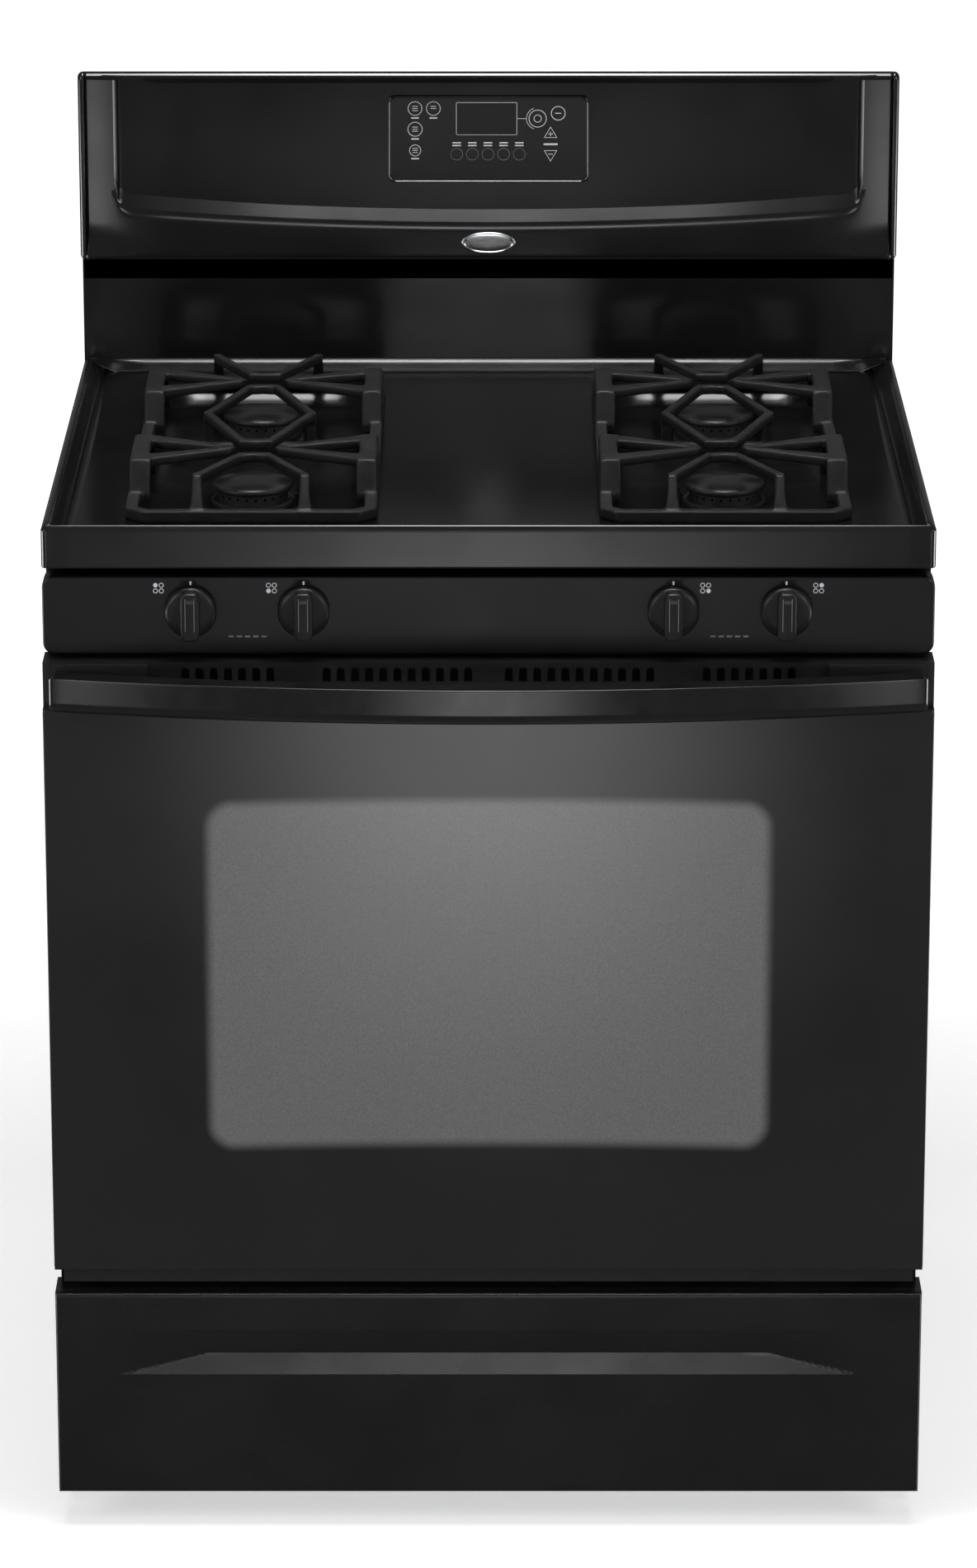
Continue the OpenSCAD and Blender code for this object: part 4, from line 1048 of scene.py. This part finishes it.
def build_handle(m):
    """Bowed handle: one section swept along the arc, with round ends and feet."""
    low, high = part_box("door_handle")
    half, bottom, top = high.x, low.z, high.z
    bow, deep = 37 * MM, 20 * MM  # how far it bows out, and how thick it is
    radius = (half ** 2 + bow ** 2) / (2 * bow)
    bulge, fillet, waist = 18 * MM, 0.5 * MM, 770 * MM  # the lower face curves back below the waist
    foot_x, foot_z, foot_deep = (346 * MM, 371 * MM), (763 * MM, 787 * MM), 9 * MM
    section = [(deep, bottom + 1 * MM), (deep - 1 * MM, bottom)]
    for a in (math.radians(a) for a in (0, 12, 25, 38, 50, 62, 74, 84, 90)):
        section.append((bulge - bulge * math.sin(a), waist - (waist - bottom) * math.cos(a)))
    section += [(0.0, waist + 1 * MM), (0.0, top - fillet - 1 * MM), (0.0, top - fillet)]
    for a in (math.radians(a) for a in (20, 40, 60, 80, 90)):
        section.append((fillet - fillet * math.cos(a), top - fillet + fillet * math.sin(a)))
    section += [(deep - 1 * MM, top), (deep, top - 1 * MM)]
    # stations along the arc: angle, and how far the section is drawn in at a round end
    sweep = math.asin(half / radius)
    ends = [(0.0, 3.0 * MM), (0.9 * MM, 1.2 * MM), (2.6 * MM, 0.2 * MM)]
    straight = sweep - 4.5 * MM / radius
    stations = [(d / radius - sweep, inset) for d, inset in ends]
    stations += [(angle, 0.0) for angle in spread(-straight, straight, 61)]
    stations += [(sweep - d / radius, inset) for d, inset in reversed(ends)]
    centre_y, mean_z = low.y + radius, (bottom + top) / 2
    rings = []
    for angle, inset in stations:
        squeeze = 1 - 2 * inset / (top - bottom)
        ring = []
        for back, z in section:
            arm = radius - min(max(back, inset), deep - inset * 0.5)
            ring.append((arm * math.sin(angle), centre_y - arm * math.cos(angle),
                         mean_z + (z - mean_z) * squeeze))
        rings.append(ring)
    skin("handle_bar", rings, m["handle"], "oven_door", "handle_plastic", ["door_handle"])
    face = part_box("door_glass")[0].y
    for side, word in SIDES.items():
        plate("handle_foot_" + word, (*sorted(side * x for x in foot_x), *foot_z), 3 * MM,
              (high.y, face - foot_deep), 1 * MM, (4, 2), m["handle"], "oven_door",
              "handle_plastic")


def build_gasket(m):
    """Braided seal: a round rope along the loop, pressed flat on the frame."""
    low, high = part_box("door_gasket")
    half_w, half_d = 5 * MM, (high.y - low.y) / 2
    outline = round_rect(low.x + half_w, high.x - half_w, low.z + half_w, high.z - half_w,
                         21 * MM, 10)
    middle_y = (low.y + high.y) / 2
    rings = []
    for i, here in enumerate(outline):
        before, after = outline[i - 1], outline[(i + 1) % len(outline)]
        along = Vector((after[0] - before[0], after[1] - before[1])).normalized()
        ring = []
        for a in (2 * math.pi * k / 12 for k in range(12)):
            out = half_w * math.cos(a)
            ring.append((here[0] + along.y * out, middle_y + half_d * math.sin(a),
                         here[1] - along.x * out))
        rings.append(ring)
    rings.append(rings[0])
    skin("seal_rope", rings, m["gasket"], "body", "gasket_weave", ["door_gasket"], 90, caps=False)


# ------------------------------------------------------------------ drawer

def build_drawer_front(m):
    """Drawer front: pressed pan with round edges and a scooped pull with tapering ends."""
    low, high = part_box("drawer_front")
    half, skirt = high.x, high.y - low.y
    edge, deep = 3.5 * MM, 8.5 * MM
    z_strip, z_back, z_top = 146.5 * MM, 163.5 * MM, 188.5 * MM
    inner, outer = 247 * MM, 322 * MM

    def scoop(x, z):
        """Depth of the pull: two flat facets that meet in a ridge."""
        share = max(0.0, min(1.0, (outer - abs(x)) / (outer - inner)))
        if share <= 0.0 or z <= z_strip or z >= z_top:
            return 0.0
        ridge = z_strip + (z_back - z_strip) * share
        if z < ridge:
            return deep * share * (z - z_strip) / (ridge - z_strip)
        return deep * share * (z_top - z) / (z_top - ridge)

    # the round edge, from the face to the side: how far out, and how far back
    roll = [(edge * math.sin(math.radians(a)), edge * (1 - math.cos(math.radians(a))))
            for a in spread(0.0, 90.0, 9)[1:]]
    xs = [-half + edge] + spread(-half + edge + 1 * MM, -outer, 6) + spread(-outer, -inner, 26)[1:]
    xs += spread(-inner, inner, 21)[1:] + spread(inner, outer, 26)[1:]
    xs += spread(outer, half - edge - 1 * MM, 6)[1:] + [half - edge]
    zs = [low.z + edge, low.z + edge + 1 * MM, low.z + 30 * MM, 100 * MM, 130 * MM]
    zs.append(z_strip - 2 * MM)
    zs += spread(z_strip, z_back, 12) + spread(z_back, z_top, 18)[1:]
    zs += [z_top + 1.5 * MM, 205 * MM, high.z - edge - 1 * MM, high.z - edge]
    right = [(half - edge + out, back) for out, back in roll] + [(half, skirt)]
    columns = [(-x, back) for x, back in reversed(right)] + [(x, 0.0) for x in xs] + right
    rings = []
    for x, back in columns:
        line = [(skirt, low.z)] + [(rolled, low.z + edge - out) for out, rolled in reversed(roll)]
        line += [(scoop(x, z), z) for z in zs]
        line += [(rolled, high.z - edge + out) for out, rolled in roll] + [(skirt, high.z)]
        rings.append([(x, low.y + max(back, y), z) for y, z in line])
    pressed("drawer_face", rings, m["drawer"], "drawer", "black_enamel", ["drawer_front"], 15)


# ------------------------------------------------------------ stage and light

def make_stage():
    """Pale floor that glows more and more away from the range, up to plain white."""
    mat, tree, shader = new_material("studio_floor")
    tint = ramp(tree, object_noise(tree, 2.0), (0.84, 0.84, 0.84), (0.87, 0.87, 0.87))
    distance = node(tree, "ShaderNodeVectorMath", operation="LENGTH")
    tree.links.new(object_coords(tree), distance.inputs[0])
    glow = map_range(tree, distance.outputs["Value"], 0.7, 2.4, 0.55, 0.95, "SMOOTHSTEP")
    feed(tree, shader, Base_Color=tint, Roughness=0.9, Emission_Color=(1.0, 1.0, 1.0, 1.0),
         Emission_Strength=glow)
    mat.cycles.emission_sampling = "NONE"
    half = 60.0
    stage_card("studio_floor", half, half, mat).visible_glossy = False


def stage_card(name, w, h, material):
    """A flat rectangle of the stage, with half sizes w and h."""
    mesh = bpy.data.meshes.new(name)
    mesh.from_pydata([(-w, -h, 0), (w, -h, 0), (w, h, 0), (-w, h, 0)], [], [(0, 1, 2, 3)])
    mesh.materials.append(material)
    obj = bpy.data.objects.new(name, mesh)
    scene.collection.objects.link(obj)
    return obj


def aim(obj, place_at, aim_at, axis):
    """Moves an object and turns the given axis towards a point."""
    obj.location = place_at
    obj.rotation_euler = (Vector(aim_at) - Vector(place_at)).to_track_quat(axis, "Y").to_euler()


def reflector(name, place_at, aim_at, half_size, strength):
    """A glowing card that only shows in reflections, soft towards its edges."""
    mat = bpy.data.materials.new(name)
    mat.use_nodes = True
    tree = mat.node_tree
    tree.nodes.clear()
    w, h = half_size
    scaled = node(tree, "ShaderNodeMapping", Vector=object_coords(tree),
                  Scale=(1.0 / w, 1.0 / h, 1.0))
    falloff = node(tree, "ShaderNodeTexGradient", gradient_type="SPHERICAL",
                   Vector=scaled.outputs["Vector"])
    bell = map_range(tree, falloff.outputs["Fac"], 0.0, 1.0, 0.0, strength, "SMOOTHSTEP")
    glow = node(tree, "ShaderNodeEmission", Strength=bell)
    node(tree, "ShaderNodeOutputMaterial", Surface=glow.outputs["Emission"])
    mat.cycles.emission_sampling = "NONE"
    card = stage_card(name, w, h, mat)
    aim(card, place_at, aim_at, "Z")
    card.visible_camera = False
    card.visible_diffuse = False
    card.visible_shadow = False
    card.visible_transmission = False


def area_light(name, place_at, aim_at, size, power):
    """A rectangular light; size in metres, power in watts."""
    data = bpy.data.lights.new(name, "AREA")
    data.shape = "RECTANGLE"
    data.size, data.size_y = size
    data.energy = power
    light = bpy.data.objects.new(name, data)
    aim(light, place_at, aim_at, "-Z")
    scene.collection.objects.link(light)
    return light


def make_lights():
    """Dim white world, three soft boxes, and the cards that the black surfaces mirror."""
    world = bpy.data.worlds.new("studio")
    world.use_nodes = True
    background = world.node_tree.nodes["Background"]
    background.inputs["Color"].default_value = (1.0, 1.0, 1.0, 1.0)
    background.inputs["Strength"].default_value = 0.12
    scene.world = world
    top = area_light("top_box", (0.0, -0.7, 3.7), (0.0, -0.2, 0.9), (2.4, 1.2), 52.0)
    top.visible_glossy = False
    # what the slopes that face up reflect: the ledge, the cove and the walls of the wells
    reflector("top_card", (0.0, -0.1, 3.7), (0.0, -0.1, 0.9), (0.9, 1.2), 42.0)
    area_light("left_box", (-3.6, -2.6, 2.6), (0.0, 0.0, 0.5), (1.2, 2.2), 55.0)
    area_light("right_box", (3.6, -2.6, 2.6), (0.0, 0.0, 0.5), (1.2, 2.2), 55.0)
    # glow on the door's upper middle, the handle and the cooktop's front
    reflector("front_card", (0.0, -3.0, -0.05), (0.0, -0.3, 0.72), (0.51, 0.6), 3.2)
    reflector("high_card", (0.0, -3.0, 1.55), (0.0, 0.2, 0.95), (0.6, 0.26), 10.5)
    for side, word in SIDES.items():
        reflector("side_card_" + word, (side * 1.5, -3.0, 0.31), (0.0, -0.3, 0.8), (0.5, 0.34), 5.5)
        # thin bright lines on the round upright edges
        reflector("edge_card_" + word, (side * 4.0, -0.1, -0.35),
                  (0.0, -0.1, -0.35), (1.2, 1.4), 18.0)
        reflector("low_card_" + word, (side * 1.7, -3.0, -0.08), (0.0, -0.3, 0.8), (0.45, 0.4), 2.2)
    scene.view_settings.view_transform = "Standard"


# ------------------------------------------------------------------- build

window_low, window_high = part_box("door_inner_glass")
inset = Vector((10 * MM, 0.0, 10 * MM))
WINDOW = (window_low + inset, window_high - inset)

make_camera()
mats = make_materials()
dress_cad(mats)
build_console(mats)
build_end_caps(mats)
build_overlay(mats)
build_badge(mats)
build_cooktop(mats)
for grate_name in ("grate_left", "grate_right"):
    build_grate(grate_name, mats["iron"])
for place_name in ("front_left", "front_right", "rear_left", "rear_right"):
    build_cap("burner_cap_" + place_name, mats["cap"])
build_valve_panel(mats)
for place_name in PLACES:
    build_knob(mats, place_name)
build_door_glass(mats)
build_handle(mats)
build_gasket(mats)
build_drawer_front(mats)
make_stage()
make_lights()
